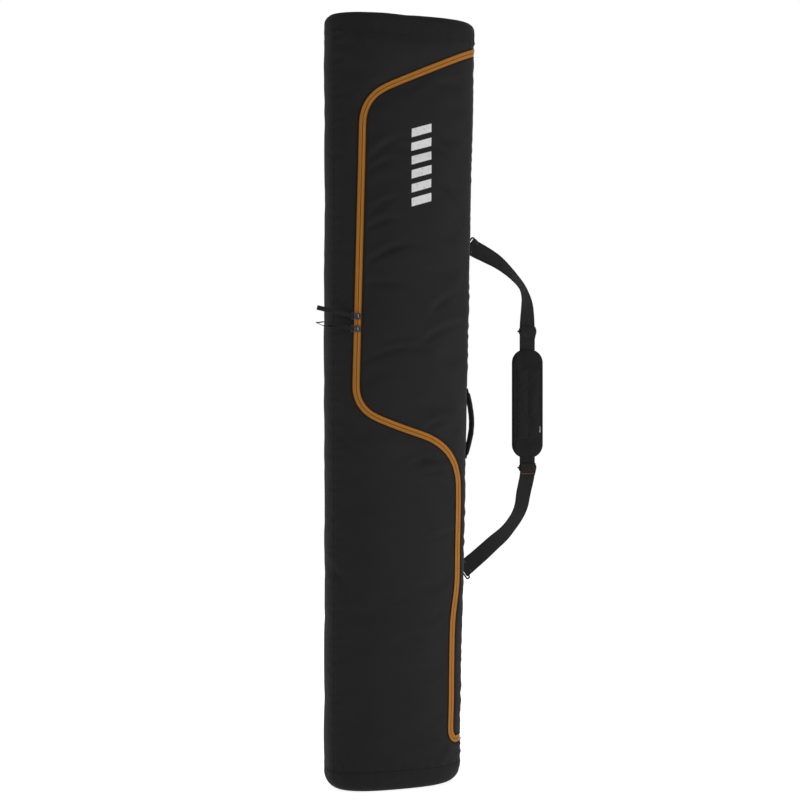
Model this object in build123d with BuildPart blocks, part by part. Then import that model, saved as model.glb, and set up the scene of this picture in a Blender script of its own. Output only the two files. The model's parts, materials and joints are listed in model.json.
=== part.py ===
"""A padded snowboard bag: lined foam body, long zipped flap, haul handle and clip-on shoulder strap.

The bag stands on its bottom cap. The front, with the zip, faces -Y. The handle and the strap
hang on the +X side. The origin is on the floor, in the middle of the bottom cap. Millimetres.
"""
from build123d import *

import os
from math import cos, pi, radians, sin, tan

os.makedirs("parts", exist_ok=True)

# ---- body -------------------------------------------------------------------------------------
HEIGHT = 1680.0             # for boards up to 165 cm
HALF_DEPTH = 72.0           # front to back is twice this
BOTTOM_HALF_WIDTH = 152.0
TOP_EXTRA_WIDTH = 36.0      # the right side leans out by this much, the left side is upright
SQUARENESS = 2.55           # exponent of the superellipse section: 2 is an ellipse
CAP_HEIGHT = 43.0           # end cap seam above the floor and below the top
SECTION_POINTS = 32
SEAM_GAP = 0.4              # between neighbouring sewn panels

FABRIC = (0.0, 1.0)         # each layer lies between two depths below the outer surface
FOAM = (1.2, 8.0)
LINING = (8.2, 9.0)

BOTTOM_ROUNDING = (34.0, 18.0, 34.0)    # how far the edge draws in sideways, in depth and in height
TOP_ROUNDING = (12.0, 7.0, 16.0)

FRONT_SEAM = 0.93           # seams, as a part of the half width
BACK_SEAM = 0.84

# ---- zip --------------------------------------------------------------------------------------
TAPE_WIDTH = 16.2
TAPE = (0.2, 1.5)
COIL = (1.7, 3.7)
COIL_WIDTH = 6.0
CHAIN_SLOT = 1.6            # slot between the two coils, where the slider's post runs
TAPE_GAP = 0.2              # tape edge to panel edge
ZIP_TOP = (-84.5, 1497.0)   # corners of the zip line, seen from the front (x, z)
ZIP_TOP_SLOPE = radians(24.3)
ZIP_ELBOW = (-101.0, 821.0)
ZIP_SHOULDER = (137.5, 733.0)
ZIP_WAIST = (136.0, 440.0)
ZIP_ANKLE = (122.5, 362.0)
ZIP_END = (117.0, 98.0)
ZIP_TOP_RADIUS = 88.0
ZIP_ELBOW_RADIUS = 72.0
ZIP_SHOULDER_RADIUS = 107.0
ZIP_LEG_RADIUS = 300.0
ZIP_END_RADIUS = 16.0
BEYOND = 260.0              # x where flat outlines close, well outside the bag

ZIP_STOPS = {"top": 1624.0, "bottom": 92.5}
ZIP_STOP_Y = -20.0

# ---- print --------------------------------------------------------------------------------------
PRINT = (-0.3, -0.05)       # depths of the print, just proud of the cloth
PRINT_LOW = (20.0, 1262.0)  # lower left corner (x, z)
PRINT_WIDTH = 45.0
PRINT_BARS = 6
PRINT_BAR = 18.0
PRINT_PITCH = 30.0
PRINT_SLANT = 14.0

# ---- flap hinge -------------------------------------------------------------------------------
HINGE_Y = -14.0             # fold line of the flap on the right side
HINGE_GAP = 2.0

# ---- sliders ----------------------------------------------------------------------------------
SLIDER_HEIGHTS = {"upper": 1024.0, "lower": 997.0}
PULL_RISE = {"upper": 11.0, "lower": 7.0}
SLIDER_LENGTH = 14.0
SLIDER_WIDTH = 11.6
SLIDER_PLATE = 1.3
SLIDER_FLOAT = 0.4          # front plate above the cloth
SLIDER_POST = 0.9           # across the chain's slot
SLIDER_FOOT = 4.0           # post and crown feet from the slider's middle, along the zip
SLIDER_GUIDE = (1.2, 1.4)   # width and depth of the flanges beside the coil
CROWN_HEIGHT = 4.8          # crown bar's centre above the cloth
CROWN_BAR = 0.8             # radius
PULLER_LENGTH = 14.0
PULLER_WIDTH = 14.6
PULLER_THICKNESS = 1.4
PULL_BAR = -12.8            # middle of the puller's end bar, left of the crown
PULL_SLOT = 3.8
PULL_LOOP_LENGTH = 80.0
PULL_LOOP_WIDTH = 10.0
PULL_LOOP_BORE = 2.5        # inner radius of the webbing's turn round the end bar
PULL_WEBBING = 1.1
SLIDER_TRAVEL = (890.0, 1440.0)     # straight stretch of the zip

# ---- shoulder strap ---------------------------------------------------------------------------
WEBBING_WIDTH = 38.0
WEBBING = 1.8
ANCHOR_Y = 44.0             # on the rear of the right side, at the back seam
ANCHOR_HEIGHTS = {"upper": 1226.0, "lower": 431.0}
TAB = 1.6
TAB_WIDTH = 25.0
RING_STANDOFF = 6.4         # D-ring bar's centre above the cloth
RING_WIRE = 1.9             # radius
RING_RADIUS = 15.0
HOOK_REACH = 59.0           # D-ring bar to the bar that the webbing is folded over
HOOK_TILT = radians(35.5)   # the hooks lean towards each other
HOOK_THICKNESS = 5.0
HOOK_EYE = (17.7, 25.7)     # ends of the eye's middle line, from the D-ring bar
HOOK_EYE_RADIUS = 5.0
HOOK_WALL = 3.0
GATE = (18.8, 28.2)         # free end and pin of the gate
GATE_PIN = 0.7
GATE_PLAY = 0.06
POST_RADIUS = 2.2
BASE_THICKNESS = 4.0
BASE_ARM = 3.0              # radius of the frame's outer corners
BASE_WINDOW = 1.2           # radius of the corners of the frame's opening
FOLD_BAR = 2.2              # radius of the bar in the webbing's fold
FOLD_BORE = 2.8

BAR_TACK = (2.2, 9.0)

PAD_CENTRE = (342.0, 836.0)
PAD_LENGTH = 248.0
PAD_WIDTH = 74.0
PAD_CORNER = 30.0
PAD_COVER = 1.0
PAD_FOAM = 5.0
PAD_MESH = 2.0
UPPER_BEND = {              # edges of the upper webbing, from its fold to the pad (x, z)
    "outer": [(268.0, 1189.0), (300.0, 1162.0), (330.0, 1117.0), (353.0, 1054.0)],
    "inner": [(238.0, 1161.0), (275.0, 1139.0), (308.0, 1105.0), (321.0, 1050.0)],
}
LOWER_BEND = {
    "outer": [(251.0, 495.0), (300.0, 545.0), (345.0, 613.0), (357.0, 660.0)],
    "inner": [(226.0, 517.0), (270.0, 545.0), (308.0, 605.0), (319.0, 660.0)],
}
WEBBING_MEET = 834.0        # height inside the pad where the two webbings end
TRI_GLIDE_HEIGHTS = {"upper": 1003.0, "lower": 688.0}
TRI_GLIDE_LENGTH = 22.0
TRI_GLIDE_BAR = 4.0
TRI_GLIDE_THICKNESS = 3.0
TRI_GLIDE_SIDE = 3.0

# ---- haul handle ------------------------------------------------------------------------------
HANDLE_Y = 8.0
HANDLE_LINE = [(711.0, 6.5), (736.0, 12.0), (764.0, 18.5), (800.0, 20.5), (838.0, 14.5), (872.0, 6.5)]
GRIP_ENDS = (730.0, 851.0)  # heights of the padded grip's ends; the line above is (z, height off cloth)
GRIP_THICKNESS = 9.0
GRIP_WIDTH = 20.0
HANDLE_WEBBING = (17.0, 2.0)
HANDLE_PATCH = 34.0


def centre_x(z):
    """Middle of the section at a height."""
    return TOP_EXTRA_WIDTH / 2 * z / HEIGHT


def half_width(z):
    """Half width of the section at a height."""
    return BOTTOM_HALF_WIDTH + TOP_EXTRA_WIDTH / 2 * z / HEIGHT


def side_fraction(y):
    """How far out the section is at a depth, as a part of the half width."""
    return (1 - abs(y / HALF_DEPTH) ** SQUARENESS) ** (1 / SQUARENESS)


def surface(x, z, side=-1):
    """Point of the outer surface at x and z: side -1 is the front, 1 the back."""
    across = abs((x - centre_x(z)) / half_width(z))
    return Vector(x, side * HALF_DEPTH * (1 - across ** SQUARENESS) ** (1 / SQUARENESS), z)


def outward(point):
    """Direction square to the surface at a point of it, in the section's plane."""
    x = (point.X - centre_x(point.Z)) / half_width(point.Z)
    y = point.Y / HALF_DEPTH
    grow_x = abs(x) ** (SQUARENESS - 1) / half_width(point.Z)
    grow_y = abs(y) ** (SQUARENESS - 1) / HALF_DEPTH
    return Vector(grow_x if x > 0 else -grow_x, grow_y if y > 0 else -grow_y, 0).normalized()


def draw_section(z, width_inset, depth_inset):
    """Sketch the section at a height, drawn in by the two insets."""
    a = half_width(z) - width_inset
    b = HALF_DEPTH - depth_inset
    points = []
    for step in range(SECTION_POINTS):
        c = cos(2 * pi * step / SECTION_POINTS)
        s = sin(2 * pi * step / SECTION_POINTS)
        x = a * abs(c) ** (2 / SQUARENESS) * (1 if c > 0 else -1)
        y = b * abs(s) ** (2 / SQUARENESS) * (1 if s > 0 else -1)
        points.append((centre_x(z) + x, y))
    with BuildSketch(Plane.XY.offset(z)) as section:
        with BuildLine():
            Spline(*points, periodic=True)
        make_face()
    return section.sketch


def tube(inset):
    """The body between its end caps, drawn in by an inset all round."""
    low = draw_section(CAP_HEIGHT + SEAM_GAP, inset, inset)
    high = draw_section(HEIGHT - CAP_HEIGHT - SEAM_GAP, inset, inset)
    return loft([low.face(), high.face()], ruled=True)


def cap(inset, top, width_round, depth_round, height_round):
    """One end cap as a solid dome, drawn in by an inset all round."""
    profile = [draw_section(HEIGHT - CAP_HEIGHT if top else CAP_HEIGHT, inset, inset)]
    for turn in (0, 25, 50, 70, 90):
        drop = 1 - cos(radians(turn))
        rise = inset + (height_round - inset) * (1 - sin(radians(turn)))
        z = HEIGHT - rise if top else rise
        profile.append(draw_section(z, inset + width_round * drop, inset + depth_round * drop))
    return loft([section.face() for section in profile], ruled=True)


def export(part, name):
    """Label a finished piece and write it as the STEP file of the same name."""
    part.label = name
    export_step(part, f"parts/{name}.step")


def seam_zone(seam, part, front):
    """Front or back half of the space between the two seams, or outside one of them."""
    reach = -100.0 if front else 100.0
    low, high = -20.0, HEIGHT + 20.0
    play = SEAM_GAP / 2
    left = [(centre_x(z) - seam * half_width(z), z) for z in (low, high)]
    right = [(centre_x(z) + seam * half_width(z), z) for z in (low, high)]
    corners = {
        "middle": [(left[0][0] + play, low), (right[0][0] - play, low),
                   (right[1][0] - play, high), (left[1][0] + play, high)],
        "left": [(-BEYOND, low), (left[0][0] - play, low), (left[1][0] - play, high), (-BEYOND, high)],
        "right": [(right[0][0] + play, low), (BEYOND, low), (BEYOND, high), (right[1][0] + play, high)],
    }[part]
    with BuildPart() as zone:
        with BuildSketch(Plane.XZ):
            Polygon(*corners, align=None)
        extrude(amount=-reach)
    return zone.part


def zip_shape(spread):
    """Flat shape to the right of the zip line, grown by a spread across the line."""
    rise = tan(ZIP_TOP_SLOPE)
    corners = [
        (ZIP_TOP, ZIP_TOP_RADIUS),
        (ZIP_ELBOW, ZIP_ELBOW_RADIUS),
        (ZIP_SHOULDER, ZIP_SHOULDER_RADIUS),
        (ZIP_WAIST, ZIP_LEG_RADIUS),
        (ZIP_ANKLE, ZIP_LEG_RADIUS),
        (ZIP_END, ZIP_END_RADIUS),
    ]
    start = (BEYOND, ZIP_TOP[1] + (BEYOND - ZIP_TOP[0]) * rise)
    end = (BEYOND, ZIP_END[1])
    with BuildSketch(Plane.XZ) as shape:
        with BuildLine():
            Polyline(start, *[corner for corner, _ in corners], end, close=True)
        make_face()
        for corner, radius in corners:
            fillet(shape.vertices().sort_by_distance((*corner, 0))[0], radius=radius)
        offset(amount=spread)
    return shape.sketch


def in_front_of(y, shape):
    """A flat shape, seen from the front, made solid from a depth forwards."""
    return extrude(Pos(0, y, 0) * shape, amount=100.0)


def export_layer(layer, zone, name, opening=None):
    """Cut one panel out of one layer of the body's wall."""
    with BuildPart() as panel:
        add(layer)
        add(zone, mode=Mode.INTERSECT)
        if opening:
            add(opening, mode=Mode.SUBTRACT)
    export(panel.part, name)


# ---- body panels: fabric, foam and lining -----------------------------------------------------
half_tape = TAPE_WIDTH / 2
opening = in_front_of(HINGE_Y + HINGE_GAP / 2, zip_shape(half_tape + TAPE_GAP))
flap_zone = in_front_of(HINGE_Y - HINGE_GAP / 2, zip_shape(-half_tape - TAPE_GAP))
layers = {
    "panel": tube(FABRIC[0]) - tube(FABRIC[1]),
    "foam": tube(FOAM[0]) - tube(FOAM[1]),
}
lining_layer = tube(LINING[0]) - tube(LINING[1])
zones = {
    "front": seam_zone(FRONT_SEAM, "middle", front=True),
    "back": seam_zone(BACK_SEAM, "middle", front=False),
    "left_side": seam_zone(FRONT_SEAM, "left", True) + seam_zone(BACK_SEAM, "left", False),
    "right_side": seam_zone(FRONT_SEAM, "right", True) + seam_zone(BACK_SEAM, "right", False),
}
for layer_name, layer in layers.items():
    for zone_name, zone in zones.items():
        cut = opening if zone_name in ("front", "right_side") else None
        export_layer(layer, zone, f"{zone_name}_{layer_name}", cut)
    export_layer(layer, flap_zone, f"flap_{layer_name}")
export_layer(lining_layer, flap_zone, "flap_lining")
with BuildPart() as body_lining:
    add(lining_layer)
    add(opening, mode=Mode.SUBTRACT)
export(body_lining.part, "body_lining")

# ---- end caps ---------------------------------------------------------------------------------
cap_layers = {"panel": FABRIC, "foam": FOAM, "lining": LINING}
for cap_name, rounding in {"bottom_cap": BOTTOM_ROUNDING, "top_cap": TOP_ROUNDING}.items():
    at_top = cap_name == "top_cap"
    for layer_name, (outer, inner) in cap_layers.items():
        dome = cap(outer, at_top, *rounding)
        hollow = cap(inner, at_top, *rounding)
        with BuildPart() as cap_layer:
            add(dome)
            add(hollow, mode=Mode.SUBTRACT)
        export(cap_layer.part, f"{cap_name}_{layer_name}")

# ---- zip tape and coil, each in a half on the body and a half on the flap ---------------------
half_slot = CHAIN_SLOT / 2
zip_layers = {"tape": (TAPE, half_tape), "coil": (COIL, COIL_WIDTH / 2)}
for layer_name, ((outer, inner), reach) in zip_layers.items():
    layer = tube(outer) - tube(inner)
    halves = {"body": (reach, half_slot), "flap": (-half_slot, -reach)}
    for side, spreads in halves.items():
        wide, narrow = [in_front_of(HINGE_Y - HINGE_GAP / 2, zip_shape(spread)) for spread in spreads]
        with BuildPart() as half:
            add(layer)
            add(wide, mode=Mode.INTERSECT)
            add(narrow, mode=Mode.SUBTRACT)
        export(half.part, f"{side}_zip_{layer_name}")


# ---- sliders ----------------------------------------------------------------------------------
def zip_point(z):
    """Point of the zip's straight stretch at a height."""
    share = (ZIP_TOP[1] - z) / (ZIP_TOP[1] - ZIP_ELBOW[1])
    return surface(ZIP_TOP[0] + share * (ZIP_ELBOW[0] - ZIP_TOP[0]), z)


def slider_plane(z):
    """Plane on the cloth at the zip: x across to the right, y up the zip, z outwards."""
    along = (zip_point(SLIDER_TRAVEL[1]) - zip_point(SLIDER_TRAVEL[0])).normalized()
    across = along.cross(outward(zip_point(z))).normalized()
    return Plane(origin=zip_point(z), x_dir=across, z_dir=across.cross(along))


def slider_end(plane, up):
    """Slider body: front and back plates on a thin post, coil guides and the crown bar."""
    front = SLIDER_FLOAT + SLIDER_PLATE
    back = -COIL[1] - 2 * SLIDER_FLOAT
    guide_width, guide_depth = SLIDER_GUIDE
    guide_x = (SLIDER_WIDTH - guide_width) / 2
    post = Plane(
        origin=plane.from_local_coords((0, up * SLIDER_FOOT, 0)),
        x_dir=(plane.x_dir.X, 0, plane.x_dir.Z),
        z_dir=(0, -1, 0),
    )
    with BuildPart(plane) as body:
        for top in (front, back):
            with BuildSketch(plane.offset(top - SLIDER_PLATE)):
                RectangleRounded(SLIDER_WIDTH, SLIDER_LENGTH, radius=3.0)
            extrude(amount=SLIDER_PLATE)
        with BuildSketch(post.offset(-COIL[1] - SLIDER_PLATE)):
            Rectangle(SLIDER_POST, SLIDER_FOOT)
        extrude(amount=COIL[1] + 2 * SLIDER_PLATE - 0.2)
        with Locations((guide_x, 0, back + guide_depth / 2), (-guide_x, 0, back + guide_depth / 2)):
            Box(guide_width, SLIDER_LENGTH - 6.0, guide_depth)
        with Locations((0, SLIDER_FOOT, front + 2.0), (0, -SLIDER_FOOT, front + 2.0)):
            Box(2.4, 1.6, 4.2)
        with Locations((0, 0, CROWN_HEIGHT)):
            Cylinder(CROWN_BAR, 2 * SLIDER_FOOT, rotation=(90, 0, 0))
    return body.part


def puller_plate(plane):
    """Puller that turns on the crown bar and lies to the left, with a slot for its webbing."""
    crown = plane.from_local_coords((0, 0, CROWN_HEIGHT))
    across = Plane(origin=crown, x_dir=plane.x_dir, z_dir=plane.y_dir)
    face = plane.offset(CROWN_HEIGHT - PULLER_THICKNESS / 2)
    eye = CROWN_BAR + 0.3
    with BuildPart() as puller:
        with BuildSketch(across.offset(-2.8)):
            Circle(eye + 0.9)
        extrude(amount=5.6)
        with BuildSketch(face):
            with BuildLine():
                Polyline((-0.6, 2.8), (-4.0, 2.8), (-8.0, PULLER_WIDTH / 2), (-PULLER_LENGTH, PULLER_WIDTH / 2),
                         (-PULLER_LENGTH, -PULLER_WIDTH / 2), (-8.0, -PULLER_WIDTH / 2), (-4.0, -2.8),
                         (-0.6, -2.8), close=True)
            make_face()
            with Locations((PULL_BAR + 3.1, 0)):
                Rectangle(PULL_SLOT, PULL_LOOP_WIDTH + 1.6, mode=Mode.SUBTRACT)
        extrude(amount=PULLER_THICKNESS)
        with BuildSketch(across.offset(-3.5)):
            Circle(eye)
        extrude(amount=7.0, mode=Mode.SUBTRACT)
    return puller.part


def pull_loop(plane, rise):
    """Webbing loop through the puller's slot, flat against the bag and tilted up by an angle."""
    bar = plane.from_local_coords((PULL_BAR, 0, CROWN_HEIGHT))
    tilt = radians(rise)
    outwards = plane.z_dir
    left = -plane.x_dir * cos(tilt) + plane.y_dir * sin(tilt)
    side = Plane(origin=bar, x_dir=left, z_dir=left.cross(outwards))
    length = PULL_LOOP_LENGTH
    bore = PULL_LOOP_BORE
    with BuildPart() as loop:
        with BuildSketch(side.offset(-PULL_LOOP_WIDTH / 2)):
            with Locations((length / 2 - bore - PULL_WEBBING, 0)):
                SlotOverall(length, 2 * (bore + PULL_WEBBING))
                SlotOverall(length - 2 * PULL_WEBBING, 2 * bore, mode=Mode.SUBTRACT)
        extrude(amount=PULL_LOOP_WIDTH)
    return loop.part


for end, height in SLIDER_HEIGHTS.items():
    plane = slider_plane(height)
    export(slider_end(plane, 1 if end == "upper" else -1), f"{end}_slider")
    export(puller_plate(plane), f"{end}_puller")
    export(pull_loop(plane, PULL_RISE[end]), f"{end}_pull_loop")

# ---- print on the flap: a column of slanted bars ----------------------------------------------
with BuildSketch(Plane.XZ) as bars:
    for step in range(PRINT_BARS):
        low = PRINT_LOW[1] + step * PRINT_PITCH
        with BuildLine():
            Polyline((PRINT_LOW[0], low), (PRINT_LOW[0] + PRINT_WIDTH, low + PRINT_SLANT),
                     (PRINT_LOW[0] + PRINT_WIDTH, low + PRINT_SLANT + PRINT_BAR),
                     (PRINT_LOW[0], low + PRINT_BAR), close=True)
        make_face()
print_layer = tube(PRINT[0]) - tube(PRINT[1])
print_zone = in_front_of(0.0, bars.sketch)
with BuildPart() as flap_print:
    add(print_layer)
    add(print_zone, mode=Mode.INTERSECT)
export(flap_print.part, "flap_print")


# ---- shoulder strap hardware ------------------------------------------------------------------
lean = Vector(TOP_EXTRA_WIDTH / 2 * (1 + side_fraction(ANCHOR_Y)) / HEIGHT, 0, 1).normalized()


def anchor_plane(z):
    """Plane on the cloth under a strap anchor: x outwards, z along the side of the bag."""
    foot = Vector(centre_x(z) + side_fraction(ANCHOR_Y) * half_width(z), ANCHOR_Y, z)
    return Plane(origin=foot, x_dir=outward(foot), z_dir=lean)


def ring_plane(z):
    """Plane of a D-ring, from the middle of its bar: x away from the bag, y up the bar."""
    bar = anchor_plane(z).from_local_coords((RING_STANDOFF, 0, 0))
    return Plane(origin=bar, x_dir=Vector(lean.Z, 0, -lean.X), z_dir=(0, -1, 0))


def hook_plane(end):
    """Plane of a hook, from the D-ring's bar: x along the hook, y along the webbing's fold."""
    tilt = -HOOK_TILT if end == "upper" else HOOK_TILT
    origin = ring_plane(ANCHOR_HEIGHTS[end]).origin
    return Plane(origin=origin, x_dir=(cos(tilt), 0, sin(tilt)), z_dir=(0, -1, 0))


def anchor_tab(plane):
    """Sewn webbing tab: a foot on the cloth and a loop round the D-ring's bar."""
    bore = RING_WIRE + 0.3
    with BuildPart() as tab:
        with BuildSketch(plane.offset(-TAB_WIDTH / 2)):
            with Locations((0.2 + TAB / 2, 0)):
                Rectangle(TAB, 24.0)
            with Locations((RING_STANDOFF / 2, 0)):
                Rectangle(RING_STANDOFF - 2 * TAB, 5.0)
            with Locations((RING_STANDOFF, 0)):
                Circle(bore + TAB)
                Circle(bore, mode=Mode.SUBTRACT)
        extrude(amount=TAB_WIDTH)
    return tab.part


def d_ring(plane):
    """D-ring: a straight bar closed by a half circle of the same wire."""
    with BuildPart() as ring:
        with BuildLine(plane) as wire:
            Line((0, -RING_RADIUS), (0, RING_RADIUS))
            ThreePointArc((0, RING_RADIUS), (RING_RADIUS, 0), (0, -RING_RADIUS))
        with BuildSketch(Plane(origin=wire.line @ 0, z_dir=wire.line % 0)):
            Circle(RING_WIRE)
        sweep(transition=Transition.ROUND)
    return ring.part


def hook_body(plane):
    """Snap hook: a long eye with a gap for the gate, the gate's cheeks and pin, and a swivel post."""
    side = Plane(origin=plane.origin, x_dir=plane.x_dir, z_dir=plane.y_dir)
    middle = (HOOK_EYE[0] + HOOK_EYE[1]) / 2
    inner = 2 * HOOK_EYE_RADIUS
    outer = inner + 2 * HOOK_WALL
    length = HOOK_EYE[1] - HOOK_EYE[0]
    gate_side = HOOK_EYE_RADIUS + HOOK_WALL / 2
    eye_end = HOOK_EYE[1] + outer / 2
    with BuildPart() as hook:
        with BuildSketch(side.offset(-HOOK_THICKNESS / 2)):
            with Locations((middle, 0)):
                SlotOverall(length + outer, outer)
                SlotOverall(length + inner, inner, mode=Mode.SUBTRACT)
            with Locations((GATE[0] + 5.2, gate_side)):
                Rectangle(11.2, HOOK_WALL + 0.4, mode=Mode.SUBTRACT)
        extrude(amount=HOOK_THICKNESS)
        with BuildSketch(side.offset(-HOOK_THICKNESS / 2)):
            with Locations((GATE[1] + 0.6, gate_side)):
                Rectangle(4.8, HOOK_WALL)
        extrude(amount=HOOK_THICKNESS)
        with BuildSketch(side.offset(-HOOK_THICKNESS / 2 + 0.8)):
            with Locations((GATE[1] - 0.4, gate_side)):
                Rectangle(4.4, HOOK_WALL + 2.0)
        extrude(amount=HOOK_THICKNESS - 1.6, mode=Mode.SUBTRACT)
        with BuildSketch(side.offset(-HOOK_THICKNESS / 2)):
            with Locations((GATE[1], gate_side)):
                Circle(GATE_PIN)
        extrude(amount=HOOK_THICKNESS)
        stem = Plane(origin=plane.from_local_coords((eye_end - 1.0, 0, 0)), z_dir=plane.x_dir)
        with BuildSketch(stem):
            Circle(3.4)
        extrude(amount=2.0)
        with BuildSketch(stem):
            Circle(POST_RADIUS)
        extrude(amount=8.6)
        with BuildSketch(stem.offset(6.8)):
            Circle(POST_RADIUS + 1.2)
        extrude(amount=1.8)
    return hook.part


def hook_gate(plane):
    """Gate that closes the hook's eye and turns inwards on its pin."""
    side = Plane(origin=plane.origin, x_dir=plane.x_dir, z_dir=plane.y_dir)
    gate_side = HOOK_EYE_RADIUS + HOOK_WALL / 2
    with BuildPart() as gate:
        with BuildSketch(side.offset(-HOOK_THICKNESS / 2 + 1.1)):
            with Locations(((GATE[0] + GATE[1] + 1.3) / 2, gate_side)):
                SlotOverall(GATE[1] - GATE[0] + 1.3, 2.6)
            with Locations((GATE[1], gate_side)):
                Circle(GATE_PIN + GATE_PLAY, mode=Mode.SUBTRACT)
        extrude(amount=HOOK_THICKNESS - 2.2)
    return gate.part


def hook_base(plane):
    """Swivel base: a triangle frame with a collar round the hook's post and a bar for the webbing."""
    collar = HOOK_EYE[1] + HOOK_EYE_RADIUS + HOOK_WALL + 1.4
    inner = WEBBING_WIDTH / 2 + 0.5
    outer = WEBBING_WIDTH / 2 + 2.4
    arms = plane.offset(-BASE_THICKNESS / 2)
    neck = Plane(origin=plane.from_local_coords((collar, 0, 0)), z_dir=plane.x_dir)
    with BuildPart() as base:
        with BuildSketch(arms):
            with Locations(
                (collar + 3.4, 4.0), (collar + 3.4, -4.0),
                (HOOK_REACH - 5.0, outer), (HOOK_REACH - 5.0, -outer),
                (HOOK_REACH, outer), (HOOK_REACH, -outer),
            ):
                Circle(BASE_ARM)
            make_hull()
        extrude(amount=BASE_THICKNESS)
        with BuildSketch(neck):
            Circle(POST_RADIUS + 2.2)
        extrude(amount=3.8)
        with BuildSketch(arms.offset(-3.0)):
            with Locations(
                (collar + 5.2, 3.8), (collar + 5.2, -3.8),
                (HOOK_REACH - 4.6, inner), (HOOK_REACH - 4.6, -inner),
                (HOOK_REACH + 4.6, inner), (HOOK_REACH + 4.6, -inner),
            ):
                Circle(BASE_WINDOW)
            make_hull()
        extrude(amount=BASE_THICKNESS + 6.0, mode=Mode.SUBTRACT)
        with BuildSketch(neck.offset(-1.0)):
            Circle(POST_RADIUS + 0.08)
        extrude(amount=6.0, mode=Mode.SUBTRACT)
        with BuildSketch(Plane(origin=plane.from_local_coords((HOOK_REACH, 0, 0)), z_dir=plane.y_dir)):
            Circle(FOLD_BAR)
        extrude(amount=outer, both=True)
    return base.part


for end, height in ANCHOR_HEIGHTS.items():
    export(anchor_tab(anchor_plane(height)), f"{end}_anchor_tab")
    export(d_ring(ring_plane(height)), f"{end}_d_ring")
    export(hook_body(hook_plane(end)), f"{end}_hook")
    export(hook_gate(hook_plane(end)), f"{end}_hook_gate")
    export(hook_base(hook_plane(end)), f"{end}_hook_base")

# ---- shoulder strap webbing -------------------------------------------------------------------
strap_y = ring_plane(0).origin.Y
webbing_edge = WEBBING_WIDTH / 2


def strap_webbing(end):
    """Webbing from the fold on the hook's base to the middle of the pad."""
    plane = hook_plane(end)
    fold = plane.from_local_coords((HOOK_REACH, 0, 0))
    bend = UPPER_BEND if end == "upper" else LOWER_BEND
    up = 1 if end == "upper" else -1
    corners = {
        "outer": plane.from_local_coords((HOOK_REACH, up * webbing_edge, 0)),
        "inner": plane.from_local_coords((HOOK_REACH, -up * webbing_edge, 0)),
    }
    straight = TRI_GLIDE_HEIGHTS[end] + up * 25.0
    last = {
        "outer": (PAD_CENTRE[0] + webbing_edge, straight),
        "inner": (PAD_CENTRE[0] - webbing_edge, straight),
    }
    with BuildPart() as webbing:
        with BuildSketch(Plane.XZ.offset(WEBBING / 2 - strap_y)):
            with BuildLine():
                for side in ("outer", "inner"):
                    corner = (corners[side].X, corners[side].Z)
                    Spline(corner, *bend[side], last[side])
                    Line(last[side], (last[side][0], WEBBING_MEET + up))
                Line((corners["outer"].X, corners["outer"].Z), (corners["inner"].X, corners["inner"].Z))
                Line((last["outer"][0], WEBBING_MEET + up), (last["inner"][0], WEBBING_MEET + up))
            make_face()
        extrude(amount=-WEBBING)
        turn = Plane(origin=fold, z_dir=plane.y_dir)
        with BuildSketch(turn):
            Circle(FOLD_BORE + WEBBING)
        extrude(amount=webbing_edge, both=True)
        with BuildSketch(turn):
            Circle(FOLD_BORE)
        extrude(amount=webbing_edge + 1, both=True, mode=Mode.SUBTRACT)
    return webbing.part


def tri_glide(plane):
    """Strap buckle: end bars in front of the webbing and the middle bar behind it."""
    width = WEBBING_WIDTH + 8.0
    side_x = (width - TRI_GLIDE_SIDE) / 2
    step = (TRI_GLIDE_LENGTH - TRI_GLIDE_BAR) / 2
    lift = WEBBING / 2 + 0.3
    with BuildPart(plane) as glide:
        with Locations((side_x, 0, 0), (-side_x, 0, 0)):
            Box(TRI_GLIDE_SIDE, TRI_GLIDE_LENGTH, 2 * (lift + TRI_GLIDE_THICKNESS))
        with Locations((0, step, lift + TRI_GLIDE_THICKNESS / 2), (0, -step, lift + TRI_GLIDE_THICKNESS / 2)):
            Box(width, TRI_GLIDE_BAR, TRI_GLIDE_THICKNESS)
        with Locations((0, 0, -lift - TRI_GLIDE_THICKNESS / 2)):
            Box(width, TRI_GLIDE_BAR, TRI_GLIDE_THICKNESS)
        fillet(glide.edges().filter_by(Axis.Y).group_by(Axis.Z)[-1], radius=0.8)
    return glide.part


for end, height in TRI_GLIDE_HEIGHTS.items():
    export(strap_webbing(end), f"{end}_strap_webbing")
    glide_plane = Plane(origin=(PAD_CENTRE[0], strap_y, height), x_dir=(1, 0, 0), z_dir=(0, -1, 0))
    export(tri_glide(glide_plane), f"{end}_tri_glide")

# orange stitching on the folds and on the webbing end in the lower buckle
with BuildPart() as strap_bar_tacks:
    for end in ANCHOR_HEIGHTS:
        front = hook_plane(end).offset(WEBBING / 2 + 0.25)
        with BuildSketch(front):
            with Locations((HOOK_REACH + 13.0, 13.0), (HOOK_REACH + 13.0, -13.0)):
                Rectangle(*BAR_TACK)
        extrude(amount=0.5)
export(strap_bar_tacks.part, "strap_bar_tacks")

stitch_z = TRI_GLIDE_HEIGHTS["lower"] - TRI_GLIDE_LENGTH / 2 - 3.0
with BuildPart() as lower_buckle_stitch:
    with BuildSketch(Plane.XZ.offset(WEBBING / 2 + 0.2 - strap_y)):
        with Locations((PAD_CENTRE[0], stitch_z)):
            Rectangle(WEBBING_WIDTH - 6.0, 1.6)
    extrude(amount=0.5)
export(lower_buckle_stitch.part, "lower_buckle_stitch")

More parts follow.
